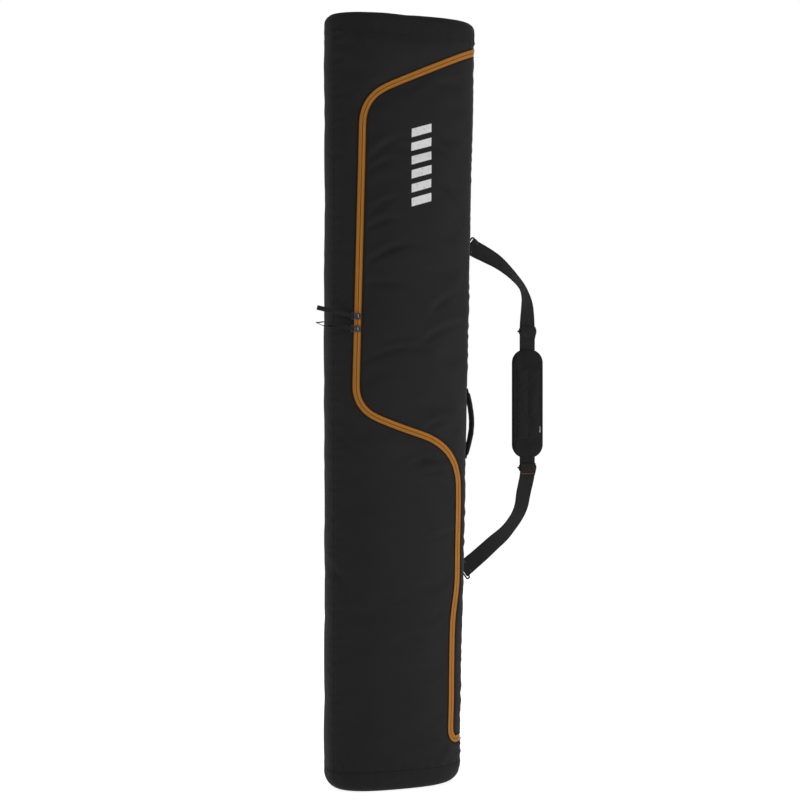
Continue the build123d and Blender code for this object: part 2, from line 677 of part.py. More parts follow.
# ---- shoulder pad: cover and foam in front of the webbing, mesh behind it ----------------------
pad_front = WEBBING / 2 + 0.3
pad_layers = {
    "pad_foam": (pad_front, PAD_FOAM, 1.4),
    "pad_cover": (pad_front + PAD_FOAM + 0.2, PAD_COVER, 0.0),
    "pad_back_mesh": (-pad_front - PAD_MESH, PAD_MESH, 0.0),
}
for name, (depth, thickness, inset) in pad_layers.items():
    with BuildPart() as pad_layer:
        with BuildSketch(Plane.XZ.offset(depth - strap_y)):
            with Locations(PAD_CENTRE):
                RectangleRounded(PAD_WIDTH - 2 * inset, PAD_LENGTH - 2 * inset, PAD_CORNER - inset)
        extrude(amount=thickness)
    export(pad_layer.part, name)

with BuildPart() as pad_tag:
    with BuildSketch(Plane.XZ.offset(pad_front + PAD_FOAM + PAD_COVER + 0.3 - strap_y)):
        with Locations((PAD_CENTRE[0] + PAD_WIDTH / 2 - 8.0, PAD_CENTRE[1] - 60.0)):
            Rectangle(3.0, 14.0)
    extrude(amount=0.4)
export(pad_tag.part, "pad_tag")


# ---- haul handle ------------------------------------------------------------------------------
def handle_point(z, lift):
    """Point above the cloth on the right side, in the handle's plane."""
    return Vector(centre_x(z) + side_fraction(HANDLE_Y) * half_width(z) + lift, HANDLE_Y, z)


handle_points = [handle_point(z, lift) for z, lift in HANDLE_LINE]


def handle_sweep(width, thickness):
    """Flat bar of a width and thickness, swept along the handle's line."""
    with BuildPart() as bar:
        with BuildLine() as line:
            Spline(*handle_points)
        start = Plane(origin=line.line @ 0, x_dir=(0, 1, 0), z_dir=line.line % 0)
        with BuildSketch(start):
            RectangleRounded(width, thickness, radius=thickness * 0.45)
        sweep()
    return bar.part


grip_bar = handle_sweep(GRIP_WIDTH, GRIP_THICKNESS)
grip_bore = handle_sweep(HANDLE_WEBBING[0] + 0.6, HANDLE_WEBBING[1] + 0.6)
with BuildPart() as haul_handle_grip:
    add(grip_bar)
    add(grip_bore, mode=Mode.SUBTRACT)
    split(bisect_by=Plane.XY.offset(GRIP_ENDS[0]), keep=Keep.TOP)
    split(bisect_by=Plane.XY.offset(GRIP_ENDS[1]), keep=Keep.BOTTOM)
export(haul_handle_grip.part, "haul_handle_grip")
export(handle_sweep(*HANDLE_WEBBING), "haul_handle_webbing")

with BuildPart() as haul_handle_patches:
    for z, way in ((HANDLE_LINE[0][0] - 3.0, -1), (HANDLE_LINE[-1][0] + 3.0, 1)):
        foot = Vector(centre_x(z) + half_width(z) + 0.3, 0, z)
        cloth = Plane(origin=foot, x_dir=(0, 1, 0), z_dir=(lean.Z, 0, -lean.X))
        with BuildSketch(cloth):
            with Locations((HANDLE_Y, way * HANDLE_PATCH / 2)):
                Rectangle(GRIP_WIDTH, HANDLE_PATCH)
        extrude(amount=HANDLE_WEBBING[1])
export(haul_handle_patches.part, "haul_handle_patches")

# ---- zip end stops on the body's half of the chain --------------------------------------------
with BuildPart() as zip_end_stops:
    for z in ZIP_STOPS.values():
        at = Vector(centre_x(z) + side_fraction(ZIP_STOP_Y) * half_width(z), ZIP_STOP_Y, z)
        with BuildSketch(Plane(origin=at, x_dir=(0, 0, 1), z_dir=outward(at))):
            RectangleRounded(5.0, 4.0, radius=1.0)
        extrude(amount=1.4)
export(zip_end_stops.part, "zip_end_stops")
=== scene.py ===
"""Looks for the snowboard bag: sewn panels, zip, hardware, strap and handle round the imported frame.

Metres throughout. The bag stands on the floor, its front faces -Y and its strap hangs on the +X side.
"""

import json
from math import cos, pi, radians, sin

import bmesh
import bpy
import numpy as np
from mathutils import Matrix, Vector
from mathutils.bvhtree import BVHTree


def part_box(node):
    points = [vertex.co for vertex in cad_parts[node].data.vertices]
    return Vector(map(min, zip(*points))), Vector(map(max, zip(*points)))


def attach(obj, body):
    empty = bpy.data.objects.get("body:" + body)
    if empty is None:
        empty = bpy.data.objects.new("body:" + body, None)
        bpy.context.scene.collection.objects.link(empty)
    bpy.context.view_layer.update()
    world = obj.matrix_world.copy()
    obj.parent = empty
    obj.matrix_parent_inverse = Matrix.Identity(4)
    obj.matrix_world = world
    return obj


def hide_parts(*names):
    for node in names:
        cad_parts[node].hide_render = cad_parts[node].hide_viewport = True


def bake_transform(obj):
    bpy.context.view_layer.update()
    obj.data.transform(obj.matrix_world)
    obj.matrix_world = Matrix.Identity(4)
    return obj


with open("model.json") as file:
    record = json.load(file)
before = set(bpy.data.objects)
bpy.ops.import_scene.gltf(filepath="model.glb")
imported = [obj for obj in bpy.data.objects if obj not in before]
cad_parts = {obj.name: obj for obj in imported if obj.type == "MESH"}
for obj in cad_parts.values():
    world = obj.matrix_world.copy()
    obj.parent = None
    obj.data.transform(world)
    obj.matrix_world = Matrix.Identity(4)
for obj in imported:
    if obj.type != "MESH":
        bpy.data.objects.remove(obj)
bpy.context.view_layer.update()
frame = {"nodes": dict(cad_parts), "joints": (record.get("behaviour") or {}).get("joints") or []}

# ---- sizes of the body, from the frame --------------------------------------------------------
SQUARENESS = 2.55               # exponent of the superellipse section
FRONT_SEAM = 0.93               # seams, as a part of the half width
BACK_SEAM = 0.84
BOTTOM_ROUNDING = (0.034, 0.018, 0.034)     # draw-in of the edge sideways, in depth and in height
TOP_ROUNDING = (0.012, 0.007, 0.016)
WALL = 0.0078                   # cloth and foam together
HINGE_Y = -0.014
PANEL_GAP = 0.0083              # zip line to the edge of the cloth
HALF_SLOT = 0.0008              # zip line to the edge of either tape

floor_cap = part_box("bottom_cap_panel")
roof_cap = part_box("top_cap_panel")
HEIGHT = roof_cap[1].z
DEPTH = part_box("back_panel")[1].y
LEFT = floor_cap[0].x
CAP = floor_cap[1].z
SLOPE = (roof_cap[1].x - floor_cap[1].x) / (HEIGHT - 2 * CAP)   # lean of the right side


def half_width(z):
    """Half width of the section at a height."""
    return (floor_cap[1].x + SLOPE * (z - CAP) - LEFT) / 2


def centre_x(z):
    """Middle of the section at a height."""
    return LEFT + half_width(z)


# ---- unit section: x and y against the share of the way round, from the hinge, back first ------
def make_section():
    """Unit superellipse, sampled evenly along its length at the middle of the bag."""
    turn = np.linspace(0, 2 * pi, 20001)
    x = np.sign(np.cos(turn)) * np.abs(np.cos(turn)) ** (2 / SQUARENESS)
    y = np.sign(np.sin(turn)) * np.abs(np.sin(turn)) ** (2 / SQUARENESS)
    start = int(np.argmin(np.where(turn > pi, np.hypot(y - HINGE_Y / DEPTH, x - 1), 9)))
    x = np.concatenate((x[start:-1], x[: start + 1]))
    y = np.concatenate((y[start:-1], y[: start + 1]))
    step = np.hypot(np.diff(x) * half_width(HEIGHT / 2), np.diff(y) * DEPTH)
    along = np.concatenate(([0], np.cumsum(step)))
    return along / along[-1], x, y, along[-1]


ROUND, UNIT_X, UNIT_Y, GIRTH = make_section()


def share_at(x, front):
    """Share of the way round where the unit section has an x, on its front or its back."""
    side = UNIT_Y < HINGE_Y / DEPTH if front else UNIT_Y > 0
    order = np.argsort(UNIT_X[side])
    return np.interp(x, UNIT_X[side][order], ROUND[side][order])


SEAMS = {
    "back_right": float(share_at(BACK_SEAM, False)),
    "back_left": float(share_at(-BACK_SEAM, False)),
    "front_left": float(share_at(-FRONT_SEAM, True)),
    "front_right": float(share_at(FRONT_SEAM, True)),
}


# ---- profile: from the middle of the floor, out, up the side and in to the middle of the top ---
def make_profile():
    """Rows of (length so far, share of the section, draw-in in x, draw-in in y, height)."""
    rows = []
    for share in (0.03, 0.2, 0.4, 0.6, 0.78, 0.9):
        rows.append((share, BOTTOM_ROUNDING[0], BOTTOM_ROUNDING[1], 0.0))
    for turn in np.linspace(pi / 2, 0, 10):
        drop = 1 - cos(turn)
        rows.append((1.0, BOTTOM_ROUNDING[0] * drop, BOTTOM_ROUNDING[1] * drop,
                     BOTTOM_ROUNDING[2] * (1 - sin(turn))))
    for z in np.linspace(BOTTOM_ROUNDING[2], HEIGHT - TOP_ROUNDING[2], 120)[1:-1]:
        rows.append((1.0, 0.0, 0.0, z))
    for turn in np.linspace(0, pi / 2, 8):
        drop = 1 - cos(turn)
        rows.append((1.0, TOP_ROUNDING[0] * drop, TOP_ROUNDING[1] * drop,
                     HEIGHT - TOP_ROUNDING[2] * (1 - sin(turn))))
    for share in (0.9, 0.78, 0.6, 0.4, 0.2, 0.03):
        rows.append((share, TOP_ROUNDING[0], TOP_ROUNDING[1], HEIGHT))
    rows = np.array(rows)
    across = rows[:, 0] * (half_width(rows[:, 3]) - rows[:, 1])
    length = np.concatenate(([0], np.cumsum(np.hypot(np.diff(across), np.diff(rows[:, 3])))))
    return np.column_stack((length, rows))


PROFILE = make_profile()
LENGTH = PROFILE[-1, 0]


def level(z):
    """Length along the profile at which the side of the bag is at a height."""
    side = slice(15, -13)
    return np.interp(z, PROFILE[side, 4], PROFILE[side, 0])


LOW_SEAM = float(level(CAP))
HIGH_SEAM = float(level(HEIGHT - CAP))


def base(u, v):
    """Smooth outer surface at shares round and lengths along the profile."""
    share, in_x, in_y, z = [np.interp(v, PROFILE[:, 0], PROFILE[:, k]) for k in (1, 2, 3, 4)]
    x = np.interp(np.mod(u, 1), ROUND, UNIT_X)
    y = np.interp(np.mod(u, 1), ROUND, UNIT_Y)
    return np.column_stack((
        centre_x(z) + share * (half_width(z) - in_x) * x, share * (DEPTH - in_y) * y, z))


def normals(u, v):
    """Outward directions of the smooth surface."""
    du, dv = 0.002, 0.003
    round_way = base(u + du, v) - base(u - du, v)
    up_way = base(u, np.clip(v + dv, 0, LENGTH)) - base(u, np.clip(v - dv, 0, LENGTH))
    n = np.cross(round_way, up_way)
    return n / np.maximum(np.linalg.norm(n, axis=1), 1e-12)[:, None]


# ---- zip line, measured on the frame's two halves of the coil -----------------------------------
def tree_of(node):
    """Search tree of one node's triangles."""
    mesh = frame["nodes"][node].data
    return BVHTree.FromPolygons([v.co for v in mesh.vertices], [p.vertices for p in mesh.polygons])


def make_zip_line():
    """Points (x, z) of the zip line, seen from the front, from its top end to its bottom end."""
    flap_side = [tree_of(node) for node in ("flap_zip_tape", "flap_panel", "flap_zip_coil")]
    low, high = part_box("flap_zip_tape")
    left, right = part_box("body_zip_tape")[0].x - 0.01, 0.986 * half_width(high.z) + centre_x(high.z)

    def on_flap(x, z):
        start = Vector((x, -1, z))
        reach = [tree.ray_cast(start, Vector((0, 1, 0)), 1 + HINGE_Y)[3] for tree in flap_side]
        return any(distance is not None for distance in reach)

    def edge(z):
        """First x at a height that lies on the flap's side."""
        near, far = left, right
        for _ in range(14):
            middle = (near + far) / 2
            if on_flap(middle, z):
                far = middle
            else:
                near = middle
        return far

    heights = np.linspace(high.z - 0.003, low.z + 0.0015, 340)
    points = np.array([(edge(z) - HALF_SLOT, z) for z in heights])
    points = points[points[:, 0] < right - 0.002]
    stack = np.stack([points[k:len(points) - 6 + k, 0] for k in range(7)])
    points[3:-3, 0] = np.median(stack, axis=0)
    for _ in range(6):
        points[1:-1] = (points[:-2] + 2 * points[1:-1] + points[2:]) / 4
    away = points[0] + (points[0] - points[12]) / np.linalg.norm(points[0] - points[12]) * 0.3
    foot = points[-1]
    end = low.z - HALF_SLOT
    return np.vstack((away, points, (foot[0] + 0.004, end), (foot[0] + 0.3, end)))


ZIP = make_zip_line()
ZIP_STEP = np.hypot(*np.diff(ZIP, axis=0).T)
ZIP_ALONG = np.concatenate(([0], np.cumsum(ZIP_STEP)))


def zip_place(points):
    """Signed distance from the zip line, positive on the flap, and the length along it."""
    x, z = points[:, 0], points[:, 2]
    best = np.full(len(x), 9.0)
    side = np.ones(len(x))
    along = np.zeros(len(x))
    for k in range(len(ZIP) - 1):
        a, d, size = ZIP[k], ZIP[k + 1] - ZIP[k], ZIP_STEP[k]
        t = np.clip(((x - a[0]) * d[0] + (z - a[1]) * d[1]) / size ** 2, 0, 1)
        off_x, off_z = x - a[0] - t * d[0], z - a[1] - t * d[1]
        gap = np.hypot(off_x, off_z)
        near = gap < best - 1e-9
        best = np.where(near, gap, best)
        side = np.where(near, np.sign(d[0] * off_z - d[1] * off_x + 1e-12), side)
        along = np.where(near, ZIP_ALONG[k] + t * size, along)
    return best * side, along


# ---- small helpers ------------------------------------------------------------------------------
SOFT_EDGE = 60                  # degrees: edges sharper than this stay crisp
OUT_FRONT = (0.0, -1.0, 0.0)
BACKWARDS = (0.0, 1.0, 0.0)
SIDEWAYS = (1.0, 0.0, 0.0)
UPWARDS = (0.0, 0.0, 1.0)


def wobble(t, pitch):
    """Uneven wave along a length, between -1 and 1."""
    return np.sin(2 * pi * t / pitch + 1.7 * np.sin(2 * pi * t / (5.3 * pitch))) * (
        0.7 + 0.3 * np.sin(2 * pi * t / (3.1 * pitch) + 0.8))


def bump(distance, width):
    """Smooth hill of height 1 across a distance."""
    return np.exp(-(distance / width) ** 2)


def collection_add(name, mesh):
    """New object for a mesh, linked to the scene."""
    piece = bpy.data.objects.new(name, mesh)
    bpy.context.scene.collection.objects.link(piece)
    return piece


def shade_smooth(mesh, angle):
    """Smooth shading, with edges sharper than an angle kept crisp."""
    mesh.shade_smooth()
    mesh.set_sharp_from_angle(angle=radians(angle))


def unit(vectors):
    """Vectors, one to a row, made one long."""
    return vectors / np.maximum(np.linalg.norm(vectors, axis=1), 1e-12)[:, None]


def lengths(points):
    """Length so far at each point of a path."""
    return np.concatenate(([0], np.cumsum(np.linalg.norm(np.diff(points, axis=0), axis=1))))


def at_lengths(where, length, points):
    """Points of a path at some lengths along it."""
    return np.stack([np.interp(where, length, points[:, k]) for k in range(points.shape[1])], axis=-1)


def repeated(direction, count):
    """The same direction, once for each of many points."""
    return np.tile(np.asarray(direction, float), (count, 1))


def grid_faces(wide, tall):
    """Four-sided faces of a grid of points, row after row."""
    return [(j * wide + i, j * wide + i + 1, (j + 1) * wide + i + 1, (j + 1) * wide + i)
            for j in range(tall - 1) for i in range(wide - 1)]


def tube_faces(rings, sides, closed=False):
    """Faces of a tube: walls between its rings, and its two ends unless it closes on itself."""
    faces = []
    for r in range(rings if closed else rings - 1):
        here, there = r * sides, (r + 1) % rings * sides
        for k in range(sides):
            n = (k + 1) % sides
            faces.append((here + k, here + n, there + n, there + k))
    if not closed:
        faces += [tuple(range(sides))[::-1], tuple((rings - 1) * sides + k for k in range(sides))]
    return faces


def round_ring(across, rise, sides):
    """Directions round a circle spanned by two sets of directions."""
    turn = np.arange(sides) * 2 * pi / sides
    return across[:, None, :] * np.cos(turn)[None, :, None] + rise[:, None, :] * np.sin(turn)[None, :, None]


def closed_mesh(name, points, faces):
    """Closed mesh whose faces look outwards."""
    mesh = bpy.data.meshes.new(name)
    mesh.from_pydata(points.reshape(-1, 3).tolist(), [], faces)
    shape = bmesh.new()
    shape.from_mesh(mesh)
    if shape.calc_volume(signed=True) < 0:
        bmesh.ops.reverse_faces(shape, faces=shape.faces)
        shape.to_mesh(mesh)
    shape.free()
    shade_smooth(mesh, SOFT_EDGE)
    return mesh


# ---- cloth of the whole bag: a coarse sewn skin, blown up between its seams ----------------------
CLOTH_ROUND = 72
CLOTH_UP = 150
CLOTH_GIVE = 0.006              # furthest that the cloth moves from the smooth shape


def cloth_grid():
    """Shares round and lengths up of the cloth's points."""
    u = np.arange(CLOTH_ROUND) / CLOTH_ROUND
    v = np.linspace(PROFILE[0, 0] + 0.004, LENGTH - 0.004, CLOTH_UP)
    return u, v


def sewn_down(u, v, points, off_zip):
    """1 on the seams, where cloth can't move, falling to 0 away from them."""
    hold = bump(v - LOW_SEAM, 0.009) + bump(v - HIGH_SEAM, 0.009)
    for seam in (0.0, *SEAMS.values()):
        gap = np.abs((u - seam + 0.5) % 1 - 0.5) * GIRTH
        hold = hold + bump(gap, 0.009)
    beside = np.maximum(np.abs(off_zip) - PANEL_GAP, 0)
    hold = hold + np.where(points[:, 1] < HINGE_Y, bump(beside, 0.012), 0)
    hold = hold + np.where(v < PROFILE[8, 0], 1.0, 0.0)
    return np.clip(hold, 0, 1)


def zip_offsets(points):
    """Distance from the zip line for points of the front, far away for the others."""
    off = np.full(len(points), -9.0)
    front = points[:, 1] < HINGE_Y + 0.0005
    if front.any():
        off[front] = zip_place(points[front])[0]
    return off


def inflate(name, points, faces, hold, pressure, growth, bending, give):
    """Cloth simulation of a closed skin held at its seams: the capped move of each point."""
    mesh = bpy.data.meshes.new(name)
    mesh.from_pydata(points.tolist(), [], faces)
    cloth = collection_add(name, mesh)
    pins = cloth.vertex_groups.new(name="sewn")
    for index, weight in enumerate(hold):
        pins.add([index], float(weight), "REPLACE")
    loose = cloth.modifiers.new("Cloth", "CLOTH")
    loose.settings.vertex_group_mass = "sewn"
    loose.settings.quality = 6
    loose.settings.mass = 0.3
    loose.settings.tension_stiffness = 20
    loose.settings.compression_stiffness = 20
    loose.settings.bending_stiffness = bending
    loose.settings.shrink_min = -growth
    loose.settings.use_pressure = True
    loose.settings.uniform_pressure_force = pressure
    loose.settings.effector_weights.gravity = 0
    scene = bpy.context.scene
    for step in range(1, 21):
        scene.frame_set(step)
    settled = cloth.evaluated_get(bpy.context.evaluated_depsgraph_get())
    now = np.zeros(len(points) * 3)
    settled.data.vertices.foreach_get("co", now)
    bpy.data.objects.remove(cloth)
    scene.frame_set(1)
    move = now.reshape(-1, 3) - points
    size = np.linalg.norm(move, axis=1)
    return move * (give * np.tanh(size / give) / np.maximum(size, 1e-9))[:, None]


def blown_cloth():
    """Moves of the bag's cloth, as a grid of rows up and columns round."""
    u, v = cloth_grid()
    uu, vv = [a.ravel() for a in np.meshgrid(u, v)]
    start = base(uu, vv)
    faces = []
    for j in range(CLOTH_UP - 1):
        for i in range(CLOTH_ROUND):
            k = (i + 1) % CLOTH_ROUND
            low, high = j * CLOTH_ROUND, (j + 1) * CLOTH_ROUND
            faces.append((low + i, low + k, high + k, high + i))
    hold = sewn_down(uu, vv, start, zip_offsets(start))
    hold[-CLOTH_ROUND:] = 1
    move = inflate("cloth_of_bag", start, faces, hold, 1.2, 0.012, 0.4, CLOTH_GIVE)
    return move.reshape(CLOTH_UP, CLOTH_ROUND, 3)


CLOTH = blown_cloth()


def spline_weights(t):
    """Weights of a cubic B-spline's four points."""
    return ((1 - t) ** 3 / 6, (3 * t ** 3 - 6 * t ** 2 + 4) / 6,
            (-3 * t ** 3 + 3 * t ** 2 + 3 * t + 1) / 6, t ** 3 / 6)


def cloth_move(u, v):
    """The cloth's move at any share round and length up."""
    _, up = cloth_grid()
    i = np.mod(u, 1) * CLOTH_ROUND
    j = np.clip((v - up[0]) / (up[1] - up[0]), 0, CLOTH_UP - 1.001)
    i0, j0 = np.floor(i).astype(int), np.floor(j).astype(int)
    total = np.zeros((len(u), 3))
    for a, wa in enumerate(spline_weights(i - i0)):
        for b, wb in enumerate(spline_weights(j - j0)):
            row = np.clip(j0 + b - 1, 0, CLOTH_UP - 1)
            total += (wa * wb)[:, None] * CLOTH[row, (i0 + a - 1) % CLOTH_ROUND]
    return total


# ---- relief: seams, puckers and creases on top of the cloth's shape ------------------------------
CREASES = [                     # on the front: x, z, slope in degrees, half length, width, depth
    (-0.041, 1.390, 36, 0.045, 0.011, 0.0030),
    (-0.050, 1.352, 27, 0.028, 0.008, 0.0024),
    (-0.043, 1.269, 29, 0.030, 0.008, 0.0026),
    (-0.047, 1.229, 20, 0.032, 0.008, 0.0034),
    (-0.033, 1.167, 25, 0.048, 0.009, 0.0040),
    (-0.036, 1.100, -5, 0.040, 0.009, 0.0018),
    (0.108, 1.375, -42, 0.040, 0.010, 0.0028),
    (0.098, 1.310, -38, 0.036, 0.009, 0.0026),
    (0.099, 1.063, 33, 0.042, 0.010, 0.0030),
    (0.087, 0.996, 25, 0.056, 0.010, 0.0028),
    (-0.018, 0.953, 12, 0.062, 0.008, 0.0034),
    (0.076, 0.793, 23, 0.032, 0.008, 0.0028),
    (0.063, 0.716, 5, 0.040, 0.008, 0.0032),
    (0.083, 0.690, 2, 0.040, 0.007, 0.0024),
    (0.085, 0.550, 8, 0.026, 0.008, 0.0020),
    (-0.121, 0.759, -44, 0.032, 0.010, 0.0020),
    (-0.130, 0.457, -63, 0.044, 0.011, 0.0024),
    (0.096, 0.082, -31, 0.028, 0.009, 0.0020),
    (-0.110, 0.600, -50, 0.034, 0.011, 0.0018),
    (0.020, 0.330, 14, 0.060, 0.014, 0.0014),
]


def relief(u, v, points, off_zip):
    """Height of the finished surface over the cloth's shape."""
    around, up = np.mod(u, 1) * GIRTH, v
    height = 0.0008 * wobble(around + 0.37 * up, 0.23) + 0.0006 * wobble(up - 0.21 * around, 0.17)
    on_side = (v > LOW_SEAM - 0.02) & (v < HIGH_SEAM + 0.02)
    off_flap = off_zip < -PANEL_GAP
    for seam in SEAMS.values():
        gap = np.abs((u - seam + 0.5) % 1 - 0.5) * GIRTH
        pucker = 0.0017 * bump(gap - 0.008, 0.008) * wobble(up, 0.021)
        height += np.where(on_side & off_flap, pucker - 0.0006 * bump(gap, 0.003), 0)
    for seam in (LOW_SEAM, HIGH_SEAM):
        gap = np.abs(v - seam)
        height += 0.0008 * bump(gap - 0.009, 0.008) * wobble(around, 0.024) - 0.0006 * bump(gap, 0.003)
    from_hinge = np.minimum(np.mod(u, 1), 1 - np.mod(u, 1)) * GIRTH
    gathered = 0.0014 * wobble(up, 0.026) * np.clip(0.45 + 0.6 * wobble(up, 0.33), 0, 1)
    gathered *= bump(from_hinge - 0.008, 0.012) * np.clip(from_hinge / 0.005, 0, 1)
    height += np.where(on_side, gathered - 0.0014 * bump(from_hinge, 0.005), 0)
    front = points[:, 1] < HINGE_Y + 0.0005
    beside = np.maximum(np.abs(off_zip) - PANEL_GAP, 0)
    in_zip = np.where(front, bump(beside, 0.004), 0)
    height -= 0.0006 * in_zip
    height += np.where(front & (off_zip > 0), 0.0007 * bump(beside - 0.018, 0.012) * wobble(up, 0.043), 0)
    for x, z, slope, half, width, depth in CREASES:
        turn = radians(slope)
        along = (points[:, 0] - x) * cos(turn) + (points[:, 2] - z) * sin(turn)
        across = (points[:, 2] - z) * cos(turn) - (points[:, 0] - x) * sin(turn)
        across = across + 0.15 * along ** 2 / half
        fold = 0.6 * bump(across - 1.3 * width, width) - bump(across, 0.7 * width)
        height += np.where(front, 1.35 * depth * fold * bump(along, half) * (1 - in_zip), 0)
    return height * np.clip(points[:, 2] / 0.012, 0, 1)


def calm(u, v):
    """How much of the cloth's move is kept: all on the front and back, less on the sides and caps."""
    unit_x = np.interp(np.mod(u, 1), ROUND, UNIT_X)
    side = np.clip((np.abs(unit_x) - 0.75) / 0.2, 0, 1)
    cap = (v < LOW_SEAM) | (v > HIGH_SEAM)
    return (1 - 0.65 * side) * np.where(cap, 0.35, 1.0)


def skin(u, v, lift=0.0, smooth=False):
    """Points of the finished surface, raised by a lift, and the surface's outward directions."""
    u, v = np.atleast_1d(u).astype(float), np.atleast_1d(v).astype(float)
    points = base(u, v)
    n = normals(u, v)
    if smooth:
        return points + n * np.reshape(lift, (-1, 1)), n
    off_zip = zip_offsets(points)
    height = relief(u, v, points, off_zip) + lift
    kept = calm(u, v) * (1 - sewn_down(u, v, points, off_zip))
    return points + cloth_move(u, v) * kept[:, None] + n * height[:, None], n


# ---- cutting table: one fine grid over the whole bag, cut along the zip line ---------------------
def spaced(stops, fine, step, low, high):
    """Values from low to high, close together by the stops and a step apart elsewhere."""
    marks = {low, high}
    for stop in stops:
        marks |= {stop + off for off in fine if low < stop + off < high}
    marks = sorted(marks)
    values = []
    for a, b in zip(marks, marks[1:]):
        values += list(np.linspace(a, b, max(1, int(np.ceil((b - a) / step))) + 1)[:-1])
    return np.array(values + [high])


CELL = 0.0056
FINE = (-0.006, -0.003, -0.0012, 0.0, 0.0012, 0.003, 0.006)
AROUND = spaced([0, 1, *SEAMS.values()], [f / GIRTH for f in FINE], CELL / GIRTH, 0.0, 1.0)[:-1]
UP = spaced([LOW_SEAM, HIGH_SEAM], FINE, CELL, PROFILE[0, 0] + 0.001, LENGTH - 0.001)
COLUMNS, ROWS = len(AROUND), len(UP)


class Cloth:
    """Points (u, v) and the polygons cut from the grid; cuts share their new points."""

    def __init__(self):
        self.u = list(np.tile(AROUND, ROWS))
        self.v = list(np.repeat(UP, COLUMNS))
        self.measure()

    def measure(self):
        points = base(np.array(self.u), np.array(self.v))
        off, along = np.full(len(points), -9.0), np.zeros(len(points))
        front = points[:, 1] < HINGE_Y + 0.0005
        off[front], along[front] = zip_place(points[front])
        self.off, self.along = list(off), list(along)

    def cell(self, j, i):
        k = (i + 1) % COLUMNS
        return (j * COLUMNS + i, j * COLUMNS + k, (j + 1) * COLUMNS + k, (j + 1) * COLUMNS + i)

    def cut(self, polygons, level):
        """Split polygons where the distance from the zip line is a level: (above, below)."""
        made, above, below = {}, [], []
        for polygon in polygons:
            over = [self.off[p] > level for p in polygon]
            if all(over):
                above.append(polygon)
                continue
            if not any(over):
                below.append(polygon)
                continue
            parts = {True: [], False: []}
            for here, there, is_over, next_over in zip(
                    polygon, polygon[1:] + polygon[:1], over, over[1:] + over[:1]):
                parts[is_over].append(here)
                if is_over != next_over:
                    key = (min(here, there), max(here, there))
                    if key not in made:
                        made[key] = self.crossing(*key, level)
                    parts[True].append(made[key])
                    parts[False].append(made[key])
            above.append(tuple(parts[True]))
            below.append(tuple(parts[False]))
        return above, below

    def crossing(self, a, b, level):
        share = (level - self.off[a]) / (self.off[b] - self.off[a])
        share = min(max(share, 0.02), 0.98)
        gap = self.u[b] - self.u[a]
        gap -= round(gap)
        self.u.append((self.u[a] + share * gap) % 1)
        self.v.append(self.v[a] + share * (self.v[b] - self.v[a]))
        self.off.append(level)
        self.along.append(self.along[a] + share * (self.along[b] - self.along[a]))
        return len(self.u) - 1


table = Cloth()


def column_range(low, high):
    """Columns of cells between two shares of the way round."""
    return [i for i in range(COLUMNS) if low - 1e-9 <= AROUND[i] < high - 1e-9]


def cells(columns, low, high):
    """Cells of some columns between two lengths up the profile."""
    rows = [j for j in range(ROWS - 1) if low - 1e-9 <= UP[j] < high - 1e-9]
    return [table.cell(j, i) for j in rows for i in columns]


def solid_sheet(name, polygons, outer, inner, uv):
    """Closed mesh between an outer and an inner layer of points, with walls round its edges."""
    used = sorted({p for polygon in polygons for p in polygon})
    number = {p: k for k, p in enumerate(used)}
    count = len(used)
    faces = [tuple(number[p] for p in polygon) for polygon in polygons]
    edges = {}
    for face in faces:
        for a, b in zip(face, face[1:] + face[:1]):
            edges[(a, b)] = edges.get((a, b), 0) + 1
    rims = [(a, b) for a, b in edges if (b, a) not in edges]
    walls = [(b, a, a + count, b + count) for a, b in rims]
    backs = [tuple(k + count for k in reversed(face)) for face in faces]
    mesh = bpy.data.meshes.new(name)
    points = np.vstack((outer[used], inner[used]))
    mesh.from_pydata(points.tolist(), [], faces + backs + walls)
    layer = mesh.uv_layers.new(name="cloth")
    corners = np.zeros(len(mesh.loops), int)
    mesh.loops.foreach_get("vertex_index", corners)
    flat = uv[used][corners % count].copy()
    starts = np.array([p.loop_start for p in mesh.polygons])
    totals = np.array([p.loop_total for p in mesh.polygons])
    first = np.repeat(flat[starts, 0], totals)
    flat[:, 0] -= np.round((flat[:, 0] - first) / GIRTH) * GIRTH
    layer.data.foreach_set("uv", flat.astype(np.float32).ravel())
    mesh.validate()
    shade_smooth(mesh, 50)
    return collection_add(name, mesh)


def finish_piece(piece, body, material, stands_for=()):
    """Give a piece its material, its body and the frame nodes it stands for."""
    piece.data.materials.clear()
    piece.data.materials.append(material)
    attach(piece, body)
    if stands_for:
        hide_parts(*stands_for)
    return piece


def sewn_panel(name, polygons, body, material, stands_for, top=0.0, thickness=WALL, smooth=False,
               cloth=None):
    """One panel of the bag: its outer face follows the finished surface, its inner face is smooth."""
    u, v = np.array(table.u), np.array(table.v)
    mask = np.zeros(len(u), bool)
    mask[list({p for polygon in polygons for p in polygon})] = True
    outer, inner = np.zeros((len(u), 3)), np.zeros((len(u), 3))
    lift = np.full(len(u), top) if np.isscalar(top) else top
    outer[mask] = skin(u[mask], v[mask], lift[mask], smooth)[0]
    if thickness >= WALL:
        inner[mask] = skin(u[mask], v[mask], -thickness, True)[0]
    else:
        inner[mask] = skin(u[mask], v[mask], lift[mask] - thickness, smooth)[0]
    cloth = np.column_stack((u * GIRTH, v)) if cloth is None else cloth
    piece = solid_sheet(name, polygons, outer, inner, cloth)
    return finish_piece(piece, body, material, stands_for)


